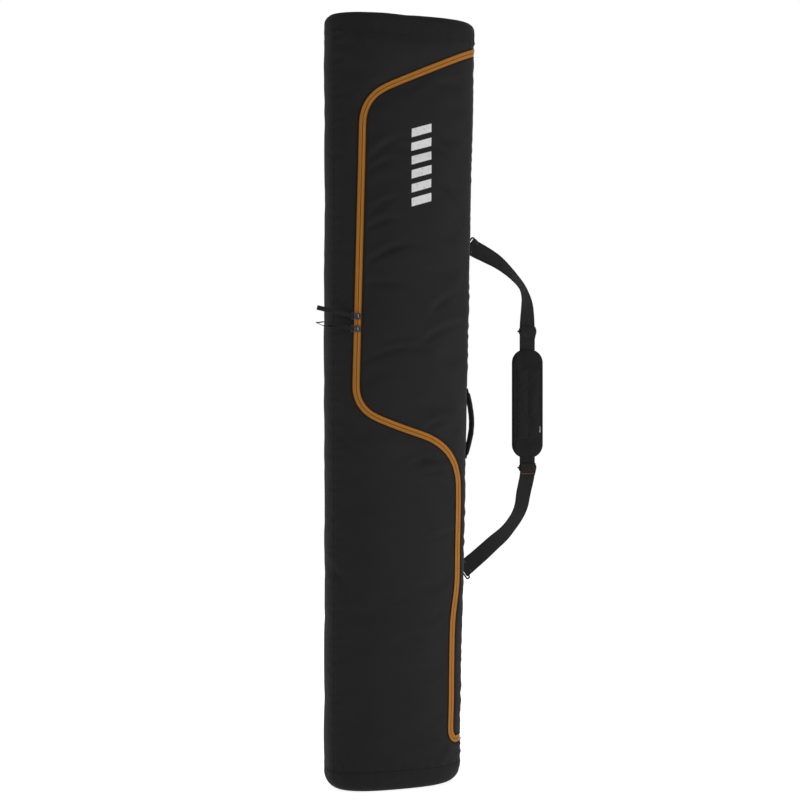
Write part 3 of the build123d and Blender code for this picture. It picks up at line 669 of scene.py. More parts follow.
# ---- materials ----------------------------------------------------------------------------------
class Paint:
    """Builder of one node material."""

    def __init__(self, name, roughness=0.8, metallic=0.0, specular=0.3):
        self.material = bpy.data.materials.new(name)
        self.material.use_nodes = True
        self.nodes = self.material.node_tree.nodes
        self.links = self.material.node_tree.links
        self.shader = self.nodes["Principled BSDF"]
        self.shader.inputs["Metallic"].default_value = metallic
        self.shader.inputs["Roughness"].default_value = roughness
        self.shader.inputs["Specular IOR Level"].default_value = specular

    def node(self, kind, **values):
        made = self.nodes.new(kind)
        for key, value in values.items():
            if hasattr(made, key):
                setattr(made, key, value)
            else:
                made.inputs[key.replace("_", " ").title()].default_value = value
        return made

    def math(self, operation, a, b=None):
        made = self.node("ShaderNodeMath", operation=operation)
        for socket, value in zip(made.inputs, (a, b)):
            if value is None:
                continue
            if isinstance(value, (int, float)):
                socket.default_value = value
            else:
                self.links.new(value, socket)
        return made.outputs[0]

    def noise(self, scale, detail=3.0, source="Object"):
        place = self.node("ShaderNodeTexCoord")
        made = self.node("ShaderNodeTexNoise")
        made.inputs["Scale"].default_value = scale
        made.inputs["Detail"].default_value = detail
        self.links.new(place.outputs[source], made.inputs["Vector"])
        return made.outputs["Fac"]

    def place_on_cloth(self):
        """The place on the cloth, in metres across and along it."""
        place = self.node("ShaderNodeTexCoord")
        apart = self.node("ShaderNodeSeparateXYZ")
        self.links.new(place.outputs["UV"], apart.inputs[0])
        return apart.outputs[0], apart.outputs[1]

    def ridges(self, place, pitch):
        """Even ridges between -1 and 1."""
        return self.math("SINE", self.math("MULTIPLY", place, 2 * pi / pitch))

    def waves(self, pitch_x, pitch_y):
        """Two crossed sets of ridges: (warp, weft)."""
        across, along = self.place_on_cloth()
        return self.ridges(across, pitch_x), self.ridges(along, pitch_y)

    def ramp(self, factor, colours):
        """Colour ramp through (place, rgb) stops."""
        made = self.node("ShaderNodeValToRGB")
        elements = made.color_ramp.elements
        while len(elements) < len(colours):
            elements.new(0.5)
        for element, (place, colour) in zip(elements, colours):
            element.position = place
            element.color = (*colour, 1)
        self.links.new(factor, made.inputs[0])
        return made.outputs[0]

    def mix(self, factor, a, b):
        made = self.node("ShaderNodeMix", data_type="RGBA")
        for socket, value in ((made.inputs[0], factor), (made.inputs[6], a), (made.inputs[7], b)):
            if isinstance(value, tuple):
                socket.default_value = (*value, 1)
            elif isinstance(value, (int, float)):
                socket.default_value = value
            else:
                self.links.new(value, socket)
        return made.outputs[2]

    def colour(self, socket):
        self.links.new(socket, self.shader.inputs["Base Color"])

    def rough(self, socket, low, high):
        made = self.node("ShaderNodeMapRange")
        made.inputs["To Min"].default_value = low
        made.inputs["To Max"].default_value = high
        self.links.new(socket, made.inputs["Value"])
        self.links.new(made.outputs["Result"], self.shader.inputs["Roughness"])

    def bump(self, height, distance, strength=1.0):
        made = self.node("ShaderNodeBump")
        made.inputs["Strength"].default_value = strength
        made.inputs["Distance"].default_value = distance
        self.links.new(height, made.inputs["Height"])
        self.links.new(made.outputs["Normal"], self.shader.inputs["Normal"])


def shade(colour, by):
    """A colour made lighter or darker."""
    return tuple(channel * by for channel in colour)


def woven(name, colour, pitch=0.0011, roughness=(0.62, 0.85), sheen=0.07, depth=0.00016, mottle=0.35):
    """Plain-woven cloth: crossed threads, soft mottling, faint sheen."""
    paint = Paint(name, specular=0.28)
    warp, weft = paint.waves(pitch, pitch)
    threads = paint.math("MULTIPLY", warp, weft)
    cloud = paint.noise(7.0, 4.0)
    grain = paint.noise(900.0, 2.0)
    tone = paint.math("ADD", paint.math("MULTIPLY", cloud, 0.75), paint.math("MULTIPLY", grain, 0.25))
    base_tone = paint.ramp(tone, [(0.3, shade(colour, 1 - mottle)), (0.7, shade(colour, 1 + mottle))])
    lit = paint.mix(paint.math("MULTIPLY", paint.math("ADD", threads, 1.0), 0.5),
                    shade(colour, 0.72), shade(colour, 1.25))
    paint.colour(paint.mix(0.35, base_tone, lit))
    paint.rough(tone, *roughness)
    paint.shader.inputs["Sheen Weight"].default_value = sheen
    paint.shader.inputs["Sheen Roughness"].default_value = 0.5
    height = paint.math("ADD", paint.math("MULTIPLY", threads, 0.5), paint.math("MULTIPLY", grain, 0.6))
    paint.bump(height, depth)
    return paint.material


SHELL = (0.0118, 0.0106, 0.0110)
# darker copy of the shell colour for the top cap: painted shade, as the light falls off towards the top
SHELL_PAINTED_SHADE = (0.0082, 0.0080, 0.0082)
ORANGE = (0.55, 0.215, 0.022)

shell_cloth = woven("shell_cloth", SHELL)
cap_cloth = woven("cap_cloth", SHELL_PAINTED_SHADE)
lining_cloth = woven("lining_cloth", (0.045, 0.044, 0.046), pitch=0.0008, sheen=0.3, roughness=(0.45, 0.6))
thread_dark = woven("thread_dark", (0.012, 0.012, 0.012), pitch=0.0006)
thread_orange = woven("thread_orange", (0.48, 0.16, 0.03), pitch=0.0006)
thread_tan = woven("thread_tan", (0.13, 0.075, 0.028), pitch=0.0006)


def tape_cloth():
    """Zip tape: orange knit with fine ribs along it; painted shade makes it darker by the coil, and it is
    lighter towards its edges.
    """
    paint = Paint("zip_tape_cloth", specular=0.3)
    rib, row = paint.waves(0.0012, 0.0009)
    across, _ = paint.place_on_cloth()
    out = paint.math("DIVIDE", paint.math("ABSOLUTE", across), PANEL_GAP)
    cloud = paint.noise(40.0)
    # painted shade: darker by the coil, where the slot between the tapes lies, and darker again at the
    # outer edge where the tape meets the cloth; a lighter band lies just inside that edge
    coil_shade_bands = paint.ramp(out, [(0.0, shade(ORANGE, 0.84)), (0.12, shade(ORANGE, 0.9)),
                              (0.22, shade(ORANGE, 0.98)), (0.7, shade(ORANGE, 1.0)),
                              (0.86, shade(ORANGE, 1.08)), (1.0, shade(ORANGE, 0.9))])
    worn = paint.mix(paint.math("MULTIPLY", cloud, 0.35), coil_shade_bands, shade(ORANGE, 0.72))
    paint.colour(worn)
    paint.rough(cloud, 0.6, 0.85)
    paint.shader.inputs["Sheen Weight"].default_value = 0.1
    ribs = paint.math("ADD", rib, paint.math("MULTIPLY", row, 0.6))
    paint.bump(ribs, 0.00012)
    return paint.material


zip_cloth = tape_cloth()

# ---- the body's panels --------------------------------------------------------------------------
front_cells = cells(column_range(SEAMS["front_left"], SEAMS["front_right"]), LOW_SEAM, HIGH_SEAM)
corner_cells = cells(column_range(SEAMS["front_right"], 1.0), LOW_SEAM, HIGH_SEAM)
left_cells = cells(column_range(SEAMS["back_left"], SEAMS["front_left"]), LOW_SEAM, HIGH_SEAM)
back_cells = cells(column_range(SEAMS["back_right"], SEAMS["back_left"]), LOW_SEAM, HIGH_SEAM)
right_cells = cells(column_range(0.0, SEAMS["back_right"]), LOW_SEAM, HIGH_SEAM)
all_columns = list(range(COLUMNS))


def cap_cells(low, high, middle):
    """Cells of an end cap, with a fan of triangles to its middle."""
    made = cells(all_columns, low, high)
    point = len(table.u)
    table.u.append(0.0)
    table.v.append(middle)
    table.off.append(-9.0)
    table.along.append(0.0)
    row = 0 if middle < 1 else ROWS - 1
    for i in range(COLUMNS):
        a, b = row * COLUMNS + i, row * COLUMNS + (i + 1) % COLUMNS
        made.append((point, b, a) if middle < 1 else (point, a, b))
    return made


def with_loops(polygons, *offsets):
    """The same polygons with extra edge loops beside the zip line."""
    for offset in offsets:
        above, below = table.cut(polygons, offset)
        polygons = above + below
    return polygons


TAPE_SLOT = 0.0005              # zip line to the edge of either tape's cloth


def zip_parts(polygons):
    """Cut polygons along the zip line: body cloth, body tape, flap tape, flap cloth."""
    polygons = with_loops(polygons, -PANEL_GAP - 0.005, -PANEL_GAP - 0.0015,
                          PANEL_GAP + 0.0015, PANEL_GAP + 0.005)
    above, body_cloth = table.cut(polygons, -PANEL_GAP)
    above, body_tape = table.cut(above, -TAPE_SLOT)
    above, _ = table.cut(above, TAPE_SLOT)
    flap_cloth, flap_tape = table.cut(above, PANEL_GAP)
    tapes = [with_loops(tape, *levels) for tape, levels in (
        (body_tape, (-0.0072, -0.0042, -0.003, -0.0014)), (flap_tape, (0.0014, 0.003, 0.0042, 0.0072)))]
    return body_cloth, tapes[0], tapes[1], flap_cloth


front_cloth, front_body_tape, front_flap_tape, front_flap = zip_parts(front_cells)
corner_cloth, corner_body_tape, corner_flap_tape, corner_flap = zip_parts(corner_cells)
top_cap_cells = cap_cells(HIGH_SEAM, LENGTH, LENGTH)
floor_cap_cells = cap_cells(0.0, LOW_SEAM, 0.0)

outer_panels = {
    "shell_front": (front_cloth, "bag", "front"),
    "shell_left_side": (left_cells, "bag", "left_side"),
    "shell_back": (back_cells, "bag", "back"),
    "shell_right_side": (right_cells + corner_cloth, "bag", "right_side"),
    "shell_flap": (front_flap + corner_flap, "flap", "flap"),
    "shell_top_cap": (top_cap_cells, "bag", "top_cap"),
    "shell_floor_cap": (floor_cap_cells, "bag", "bottom_cap"),
}
for name, (polygons, body, node) in outer_panels.items():
    # the top cap takes the darker copy of the shell cloth: painted shade
    cloth = cap_cloth if "top_cap" in name else shell_cloth
    sewn_panel(name, polygons, body, cloth, (f"{node}_panel", f"{node}_foam"))

LINING = (-0.0081, 0.0008)
lining_panels = {
    "lining_body": (front_cloth + left_cells + back_cells + right_cells + corner_cloth,
                    "bag", "body_lining"),
    "lining_flap": (front_flap + corner_flap, "flap", "flap_lining"),
    "lining_top_cap": (top_cap_cells, "bag", "top_cap_lining"),
    "lining_floor_cap": (floor_cap_cells, "bag", "bottom_cap_lining"),
}
for name, (polygons, body, node) in lining_panels.items():
    sewn_panel(name, polygons, body, lining_cloth, (node,), LINING[0], LINING[1], smooth=True)

# ---- zip tape -----------------------------------------------------------------------------------
off_line = np.abs(np.array(table.off))
tape_lift = -0.0003 + 0.0006 * np.clip(1 - (off_line - 0.0024) / 0.0016, 0, 1)
tape_lift -= 0.0003 * np.clip(1 - (off_line - 0.0005) / 0.0007, 0, 1)
for name, polygons, body in (("zip_tape_body", front_body_tape + corner_body_tape, "bag"),
                             ("zip_tape_flap", front_flap_tape + corner_flap_tape, "flap")):
    node = "body_zip_tape" if body == "bag" else "flap_zip_tape"
    sewn_panel(name, polygons, body, zip_cloth, (node,), tape_lift, 0.001,
               cloth=np.column_stack((table.off, table.along)))


# ---- zip details: coil, cords and stitching ------------------------------------------------------
ZIP_TURN = unit(np.gradient(ZIP, axis=0))
HINGE_X = float(np.interp(0, ROUND, UNIT_X))


def beside_zip(along, off):
    """(u, v) at lengths along the zip line and a distance to its side; and which are on the front."""
    x = np.interp(along, ZIP_ALONG, ZIP[:, 0]) - off * np.interp(along, ZIP_ALONG, ZIP_TURN[:, 1])
    z = np.interp(along, ZIP_ALONG, ZIP[:, 1]) + off * np.interp(along, ZIP_ALONG, ZIP_TURN[:, 0])
    unit_x = (x - centre_x(z)) / half_width(z)
    return share_at(unit_x, True), level(z), np.abs(unit_x) < HINGE_X


def rods(name, paths, radii, lift_way, sides=5):
    """Many short closed rods, each through its own few points, with a radius at each point.

    lift_way is a direction square to the rods, one for all of them or one for each.
    """
    paths = np.asarray(paths, float)
    count, rings = paths.shape[:2]
    along = unit(paths[:, -1] - paths[:, 0])
    across = unit(np.cross(along, lift_way))
    ring = round_ring(across, np.cross(across, along), sides)
    points = paths[:, :, None, :] + ring[:, None, :, :] * np.reshape(radii, (1, rings, 1, 1))
    one = tube_faces(rings, sides)
    faces = [tuple(step * rings * sides + k for k in face) for step in range(count) for face in one]
    return collection_add(name, closed_mesh(name, points, faces))


THREAD = (0.0002, 0.0003, 0.0002)   # radii along one stitch
STITCH = 0.0032
STITCH_PITCH = 0.0045


def stitch_row(u, v, lift, radius):
    """Stitches along a path on the surface: their paths, and the surface's directions at them."""
    points, n = skin(u, v, lift)
    length = lengths(points)
    starts = np.arange(0, length[-1] - STITCH, STITCH_PITCH)
    shares = np.array([0.0, 0.16, 0.5, 0.84, 1.0])
    at = starts[:, None] + shares[None, :] * STITCH
    path = at_lengths(at, length, points)
    up = at_lengths(starts, length, n)
    path -= up[:, None, :] * (radius * 1.4 * (2 * shares - 1)[None, :, None] ** 4)
    return path, up


def sew(name, rows, body, material, radius=0.00032, lift=0.0):
    """Rows of stitches, each row a pair (u, v), as one piece."""
    made = [stitch_row(u, v, lift, radius) for u, v in rows]
    paths = np.concatenate([path for path, _ in made])
    ways = np.concatenate([way for _, way in made])
    piece = rods(name, paths, radius * np.array([0.5, 1, 1, 1, 0.5]), ways)
    return finish_piece(piece, body, material)


def zip_row(off, gap=0.004):
    """(u, v) of a path beside the zip line, as far as it stays on the front."""
    along = np.arange(ZIP_ALONG[1], ZIP_ALONG[-1], gap)
    u, v, front = beside_zip(along, off)
    return u[front], v[front]


CORD_SIDES = 8


def cord(name, u, v, lift, radius, body, material):
    """Round cord along a path on the surface."""
    points, n = skin(u, v, lift)
    across = np.cross(unit(np.gradient(points, axis=0)), n)
    tube = points[:, None, :] + radius * round_ring(across, n, CORD_SIDES)
    mesh = closed_mesh(name, tube, tube_faces(len(points), CORD_SIDES))
    finish_piece(collection_add(name, mesh), body, material)


TOOTH_PITCH = 0.0024
# coil a little darker than the tape: painted shade of the slot it sits in
coil_plastic = woven("coil_plastic", shade(ORANGE, 0.85), pitch=0.0007, roughness=(0.35, 0.5), sheen=0.0)
# the cord is the shell's real folded edge; its colour, far darker than the shell cloth, is painted shade in
# the fold
edge_cord_painted_shade = woven("edge_cord_painted_shade", (0.0035, 0.0034, 0.0034), pitch=0.0009, sheen=0.0)
for body, way in (("bag", -1), ("flap", 1)):
    along = np.arange(ZIP_ALONG[1] + (way + 1) * TOOTH_PITCH / 4, ZIP_ALONG[-1], TOOTH_PITCH)
    reach = np.array([0.0006, 0.0011, 0.0022, 0.0031])
    u, v, front = beside_zip(np.repeat(along, 4), way * np.tile(reach, len(along)))
    whole = front.reshape(-1, 4).all(axis=1)
    lifts = np.tile([-0.0024, -0.0022, -0.0021, -0.0024], len(along))
    points, n = skin(u, v, lifts)
    points, n = points.reshape(-1, 4, 3)[whole], n.reshape(-1, 4, 3)[whole, 0]
    teeth = rods(f"zip_teeth_{body}", points, [0.0007, 0.0009, 0.0007, 0.0007], n, 6)
    node = "body_zip_coil" if body == "bag" else "flap_zip_coil"
    finish_piece(teeth, body, coil_plastic, (node,))
    edge = way * (PANEL_GAP + 0.0004)
    cord(f"zip_edge_{body}", *zip_row(edge), 0.0003, 0.0012, body, edge_cord_painted_shade)
    sew(f"zip_stitch_{body}", [zip_row(way * 0.0068)], body, thread_orange, lift=0.0001)
    sew(f"zip_topstitch_{body}", [zip_row(way * (PANEL_GAP + 0.0042))], body, thread_dark, lift=0.0001)

# ---- seams: two rows of stitches beside each, and a cord in the cap seams ------------------------
BESIDE_SEAM = 0.0035
seam_rows = []
up_side = np.arange(LOW_SEAM + 0.006, HIGH_SEAM - 0.006, 0.004)
for seam in SEAMS.values():
    for way in (-1, 1):
        u = np.full(len(up_side), seam + way * BESIDE_SEAM / GIRTH)
        points = base(u, up_side)
        clear = zip_offsets(points) < -PANEL_GAP - 0.004
        below, above = clear & (points[:, 2] < 0.5), clear & (points[:, 2] >= 0.5)
        seam_rows += [(u[part], up_side[part]) for part in (below, above) if part.sum() > 3]
for seam, way in ((LOW_SEAM, 1), (HIGH_SEAM, -1)):
    u = np.linspace(0, 1, 260)
    seam_rows.append((u, np.full(len(u), seam + way * BESIDE_SEAM)))
sew("seam_stitching", seam_rows, "bag", thread_dark, lift=0.0001)
for name, seam in (("low_cap_cord", LOW_SEAM), ("high_cap_cord", HIGH_SEAM)):
    u = np.linspace(0, 1, 400)
    cord(name, u, np.full(len(u), seam), 0.0002, 0.0010, "bag", shell_cloth)

# ---- fold of cloth over the flap's hinge ---------------------------------------------------------
def hinge_fold():
    """Narrow strip sewn over the hinge line."""
    reach, thick = 0.006, 0.0007
    low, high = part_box("flap_zip_tape")
    v = np.linspace(level(low.z + 0.012), level(high.z - 0.006), 300)
    across = np.linspace(-reach, reach, 13)
    uu, vv = np.meshgrid(across / GIRTH, v)
    lift = 0.0012 * np.cos(np.clip(np.abs(uu * GIRTH) / reach, 0, 1) * pi / 2) ** 0.5 + 0.0001
    top, _ = skin(uu.ravel(), vv.ravel(), lift.ravel())
    under, _ = skin(uu.ravel(), vv.ravel(), lift.ravel() - thick)
    uv = np.column_stack((uu.ravel() * GIRTH, vv.ravel()))
    strip = solid_sheet("hinge_fold", grid_faces(len(across), len(v)), top, under, uv)
    strip.data.materials.append(shell_cloth)
    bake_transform(strip)


hinge_fold()

# ---- print on the flap ---------------------------------------------------------------------------
PRINT_BARS = 6
PRINT_BAR = 0.018
PRINT_SLANT = 0.014


def print_ink():
    """Pale ink, a little worn, with the cloth's threads showing through."""
    paint = Paint("print_ink", roughness=0.5, specular=0.4)
    worn = paint.noise(160.0, 5.0)
    paint.colour(paint.ramp(worn, [(0.25, (0.62, 0.62, 0.62)), (0.45, (0.88, 0.88, 0.88))]))
    warp, weft = paint.waves(0.0011, 0.0011)
    paint.bump(paint.math("MULTIPLY", warp, weft), 0.00008)
    paint.rough(worn, 0.45, 0.7)
    return paint.material


def print_bars():
    """Row of slanted bars, one above the other, that follow the flap's surface."""
    low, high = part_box("flap_print")
    pitch = (high.z - low.z - PRINT_BAR - PRINT_SLANT) / (PRINT_BARS - 1)
    wide, tall = 13, 7
    points, faces = [], []
    for step in range(PRINT_BARS):
        across, rise = np.meshgrid(np.linspace(0, 1, wide), np.linspace(0, 1, tall))
        x = low.x + across.ravel() * (high.x - low.x)
        z = low.z + step * pitch + rise.ravel() * PRINT_BAR + across.ravel() * PRINT_SLANT
        start = len(points)
        points += list(zip(share_at((x - centre_x(z)) / half_width(z), True), level(z)))
        faces += [tuple(start + k for k in face) for face in grid_faces(wide, tall)]
    points = np.array(points)
    top, _ = skin(points[:, 0], points[:, 1], 0.00035)
    under, _ = skin(points[:, 0], points[:, 1], -0.0002)
    uv = np.column_stack((points[:, 0] * GIRTH, points[:, 1]))
    bars = solid_sheet("print_bars", faces, top, under, uv)
    finish_piece(bars, "flap", print_ink(), ("flap_print",))


print_bars()


# ---- ribbons: webbing that follows a path and turns as it goes -----------------------------------
def smooth_path(points, count):
    """Evenly spaced points of a Catmull-Rom curve through some points."""
    points = np.asarray(points, float)
    ends = np.vstack((2 * points[0] - points[1], points, 2 * points[-1] - points[-2]))
    fine = []
    for k in range(len(points) - 1):
        a, b, c, d = ends[k:k + 4]
        for t in np.linspace(0, 1, 24, endpoint=False):
            fine.append(0.5 * (2 * b + (c - a) * t + (2 * a - 5 * b + 4 * c - d) * t * t
                               + (3 * b - a - 3 * c + d) * t ** 3))
    fine.append(points[-1])
    fine = np.array(fine)
    length = lengths(fine)
    return at_lengths(np.linspace(0, length[-1], count), length, fine)


def ribbon_mesh(name, path, side, width, thick, columns=13, power=6.0):
    """Closed flat bar along a path; side is its width direction, everywhere or at each point."""
    side = np.broadcast_to(np.asarray(side, float), path.shape)
    way = unit(np.gradient(path, axis=0))
    side = unit(side - way * np.sum(side * way, axis=1)[:, None])
    face_way = np.cross(side, way)
    width = np.broadcast_to(width, len(path))
    thick = np.broadcast_to(thick, len(path))
    across = -np.cos(np.linspace(0, pi, columns)) * 0.5
    tall = 0.5 * (1 - np.abs(2 * across) ** power) ** (1 / power)
    loop = np.column_stack((np.append(across, across[-2:0:-1]), np.append(tall, -tall[-2:0:-1])))
    co = (path[:, None, :] + side[:, None, :] * (loop[:, 0][None, :] * width[:, None])[:, :, None]
          + face_way[:, None, :] * (loop[None, :, 1] * thick[:, None])[:, :, None])
    ring, count = len(loop), len(path)
    mesh = closed_mesh(name, co, tube_faces(count, ring))
    uv = np.column_stack((np.tile(loop[:, 0], count) * np.repeat(width, ring),
                          np.repeat(lengths(path), ring)))
    corners = np.zeros(len(mesh.loops), int)
    mesh.loops.foreach_get("vertex_index", corners)
    mesh.uv_layers.new(name="cloth").data.foreach_set("uv", uv[corners].astype(np.float32).ravel())
    return mesh


def ribbon(name, path, side, width, thick, body, material, slot, stands_for=(), **shape):
    """A ribbon as a finished piece."""
    mesh = ribbon_mesh(name, path, side, width, thick, **shape)
    return finish_piece(collection_add(name, mesh), body, material, stands_for)


def spin(vectors, axes, angles):
    """Vectors turned about axes square to them."""
    return vectors * np.cos(angles)[:, None] + np.cross(axes, vectors) * np.sin(angles)[:, None]


def webbing_material(name, colour, rib=0.0022):
    """Woven strap: a herringbone of flat yarns with tight edges and a dull shine."""
    paint = Paint(name, specular=0.3)
    across, along = paint.place_on_cloth()
    zigzag = paint.math("ABSOLUTE", across)
    slanted = paint.math("ADD", along, paint.math("PINGPONG", zigzag, rib * 2))
    yarn = paint.ridges(slanted, rib * 0.6)
    cords = paint.ridges(across, rib)
    weave = paint.math("ADD", paint.math("MULTIPLY", yarn, 0.6), paint.math("MULTIPLY", cords, 0.4))
    cloud = paint.noise(30.0, 4.0)
    tone = paint.math("ADD", paint.math("MULTIPLY", weave, 0.25), cloud)
    paint.colour(paint.ramp(tone, [(0.25, shade(colour, 0.55)), (0.8, shade(colour, 1.5))]))
    paint.rough(cloud, 0.55, 0.8)
    paint.shader.inputs["Sheen Weight"].default_value = 0.05
    paint.bump(weave, 0.00025)
    return paint.material


webbing_black = webbing_material("webbing_black", (0.0105, 0.0102, 0.0105))
joints = {joint["name"]: joint for joint in frame["joints"]}


def joint_place(name):
    """A point on a joint's axis."""
    return np.array(joints[name]["pos_m"])


def joint_axis(name):
    """Direction of a joint's axis."""
    return np.array(joints[name]["axis"])


# ---- pull loops: the upper lies flat, the lower is turned edge-on and open -----------------------
LOOP_WIDTH = 0.010
LOOP_WEBBING = 0.0014


def pull_loop(end, twist, spread):
    """Webbing loop from the puller's bar to its tip past the bag's left edge."""
    bar = joint_place(f"{end}_pull_loop_swing")
    hinge_way = joint_axis(f"{end}_pull_loop_swing")
    low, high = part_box(f"{end}_pull_loop")
    tip = np.array([low.x, (low.y + high.y) / 2, (low.z + high.z) / 2])
    tip[2] = 2 * tip[2] - bar[2]
    tip[1] = min(tip[1], bar[1] - 0.002)
    way = tip - bar
    reach = np.linalg.norm(way) + 0.003
    way /= np.linalg.norm(way)
    out = np.cross(way, hinge_way)
    out /= np.linalg.norm(out)
    out = out if out[1] < 0 else -out
    share = np.linspace(0, 1, 44)
    apart = 0.0031 * (1 - share) ** 3 + 0.0008 + spread * np.sin(pi * share ** 3) ** 2
    apart = apart * (1 - np.clip((share - 0.94) / 0.06, 0, 1) ** 2 * 0.7)
    turned = radians(twist) * np.clip(share * 1.4, 0, 1) ** 1.5
    lift = spin(out, way, turned)
    side = spin(np.cross(way, out), way, turned)
    middle = bar + way * (share * reach)[:, None] + out * (0.0024 * np.sin(pi * share))[:, None]
    front, back = middle + lift * apart[:, None], middle - lift * apart[:, None]
    turn = np.linspace(-pi / 2, pi / 2, 9)[1:-1]
    far = middle[-1] + 0.0011 * (np.cos(turn)[:, None] * way + np.sin(turn)[:, None] * -lift[-1])
    near_turn = np.linspace(pi / 2, 3 * pi / 2, 11)[1:-1]
    near = bar + 0.0039 * (np.cos(near_turn)[:, None] * way + np.sin(near_turn)[:, None] * -out)
    path = np.vstack((front, far, back[::-1], near[::-1], front[:1]))
    sides = np.vstack((side, repeated(side[-1], 7), side[::-1], repeated(side[0], 10)))
    ribbon(f"{end}_pull_webbing", path, sides, LOOP_WIDTH, LOOP_WEBBING, f"{end}_pull_loop",
           webbing_black, "webbing", (f"{end}_pull_loop",), columns=9, power=5.0)
    for k, place in enumerate((0.30, 0.36)):
        here = int(place * 43)
        spot = middle[here]
        rows = np.linspace(-0.4, 0.4, 5) * LOOP_WIDTH
        starts = spot + side[here] * rows[:, None] + lift[here] * (apart[here] + 0.0006)
        paths = np.stack((starts, starts + side[here] * 0.0008, starts + side[here] * 0.0016), axis=1)
        tacks = rods(f"{end}_pull_tack_{k}", paths, THREAD, lift[here])
        finish_piece(tacks, f"{end}_pull_loop", thread_dark)


pull_loop("upper", 0, 0.0002)
pull_loop("lower", 80, 0.0034)


# ---- shoulder strap ------------------------------------------------------------------------------
STRAP_WIDTH = 0.038
STRAP_THICK = 0.0018
HOOK_REACH = 0.050              # D-ring's bar to the bar in the webbing's fold
FOLD_RADIUS = 0.0037
pad_low, pad_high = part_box("pad_cover")
PAD = np.array([(pad_low.x + pad_high.x) / 2, 0, (pad_low.z + pad_high.z) / 2])
PAD_HALF = np.array([(pad_high.x - pad_low.x) / 2, (pad_high.z - pad_low.z) / 2])
STRAP_Y = (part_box("upper_tri_glide")[0].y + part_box("upper_tri_glide")[1].y) / 2
PAD[1] = STRAP_Y
STRAP_BENDS = {                 # between the fold and the pad: x, height above or below, turn
    "upper": [(0.231, 1.181, 4), (0.263, 1.165, 18), (0.2875, 1.148, 32), (0.310, 1.128, 42),
              (0.3285, 1.107, 45), (0.338, 1.085, 36), (0.342, 1.060, 20)],
    "lower": [(0.231, 0.494, 2), (0.259, 0.517, 8), (0.282, 0.535, 15), (0.299, 0.553, 21),
              (0.316, 0.576, 19), (0.327, 0.600, 12), (0.333, 0.631, 6)],
}


def strap_path(end):
    """Points, side directions and the share so far of the webbing from its fold into the pad."""
    ring = joint_place(f"{end}_hook_swivel")
    way = joint_axis(f"{end}_hook_swivel")
    fold = ring + way * HOOK_REACH
    fold[1] = STRAP_Y
    up = 1 if end == "upper" else -1
    glide = np.array(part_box(f"{end}_tri_glide")).mean(axis=0)
    marks = [(*fold, 0)]
    marks.append((*(fold + way * 0.012), 0))
    marks += [(x, STRAP_Y, z, turn) for x, z, turn in STRAP_BENDS[end]]
    marks.append((PAD[0], STRAP_Y, glide[2] + up * 0.016, 3))
    marks.append((PAD[0], STRAP_Y, glide[2] - up * 0.016, 0))
    marks.append((PAD[0], STRAP_Y, PAD[2] + up * 0.002, 0))
    fine = smooth_path(np.array(marks) * (1, 1, 1, 0.001), 150)
    path, turn = fine[:, :3], np.radians(fine[:, 3] * 1000)
    along = unit(np.gradient(path, axis=0))
    side = np.cross(along, BACKWARDS)
    return path, spin(side, along, -up * turn), along


def strap_webbing(end):
    """One length of strap webbing with its fold round the hook's base and its sewn-back end."""
    path, side, along = strap_path(end)
    fold, way = path[0].copy(), along[0]
    back = np.array(BACKWARDS)
    turn = np.linspace(pi / 2 + 0.25, 2 * pi - pi / 2 - 0.25, 15)
    loop = fold + FOLD_RADIUS * (np.cos(turn)[:, None] * way + np.sin(turn)[:, None] * -back)
    away = np.linalg.norm(path - fold, axis=1)
    front = path[away > 0.008].copy()
    near = np.linspace(0.005, 0.032, 14)
    doubled = at_lengths(near, away[away < 0.045], path[away < 0.045])
    tail = doubled + back * (0.0012 + 0.0022 * np.exp(-((near - 0.005) / 0.005)))[:, None]
    front[:, 1] -= 0.0012 * np.exp(-(away[away > 0.008] / 0.03) ** 2)
    whole = np.vstack((tail[::-1], loop[::-1], front))
    whole = smooth_path(whole[::-2][::-1], 230)
    near_fold = np.linalg.norm(whole - fold, axis=1)
    order = np.array([int(np.argmin(np.linalg.norm(path - p, axis=1))) for p in whole])
    sides = np.where((near_fold < 0.02)[:, None], side[0][None, :], side[order])
    for _ in range(8):
        sides[1:-1] = (sides[:-2] + 2 * sides[1:-1] + sides[2:]) / 4
    ribbon(f"{end}_strap", whole, sides, STRAP_WIDTH, STRAP_THICK, "shoulder_strap", webbing_black,
           "webbing", (f"{end}_strap_webbing",), columns=15)
    bars = []
    for off in (-0.0115, 0.0125):
        for step in np.linspace(-0.0028, 0.0028, 9):
            spot = fold + way * 0.0095 + side[0] * (off + step) - back * 0.0026
            bars.append((spot - way * 0.0012, spot - back * 0.0002, spot + way * 0.0012))
    return bars


tacks = np.array(strap_webbing("upper") + strap_webbing("lower"))
bar_tacks = rods("strap_bar_tacks_thread", tacks, [0.0003, 0.0005, 0.0003], OUT_FRONT, 6)
finish_piece(bar_tacks, "shoulder_strap", thread_tan, ("strap_bar_tacks",))


def glide_stitch():
    """Orange thread across the webbing under the lower buckle."""
    low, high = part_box("lower_buckle_stitch")
    z = (low.z + high.z) / 2
    xs = np.arange(low.x, high.x - 0.001, 0.0022)
    y = STRAP_Y - STRAP_THICK * 1.5 - 0.0004
    paths = [((x, y, z - 0.0005), (x + 0.0008, y - 0.0002, z), (x + 0.0017, y, z + 0.0005)) for x in xs]
    piece = rods("buckle_stitch_thread", paths, [0.0003, 0.00045, 0.0003], OUT_FRONT, 6)
    finish_piece(piece, "lower_buckle", thread_orange, ("lower_buckle_stitch",))


glide_stitch()


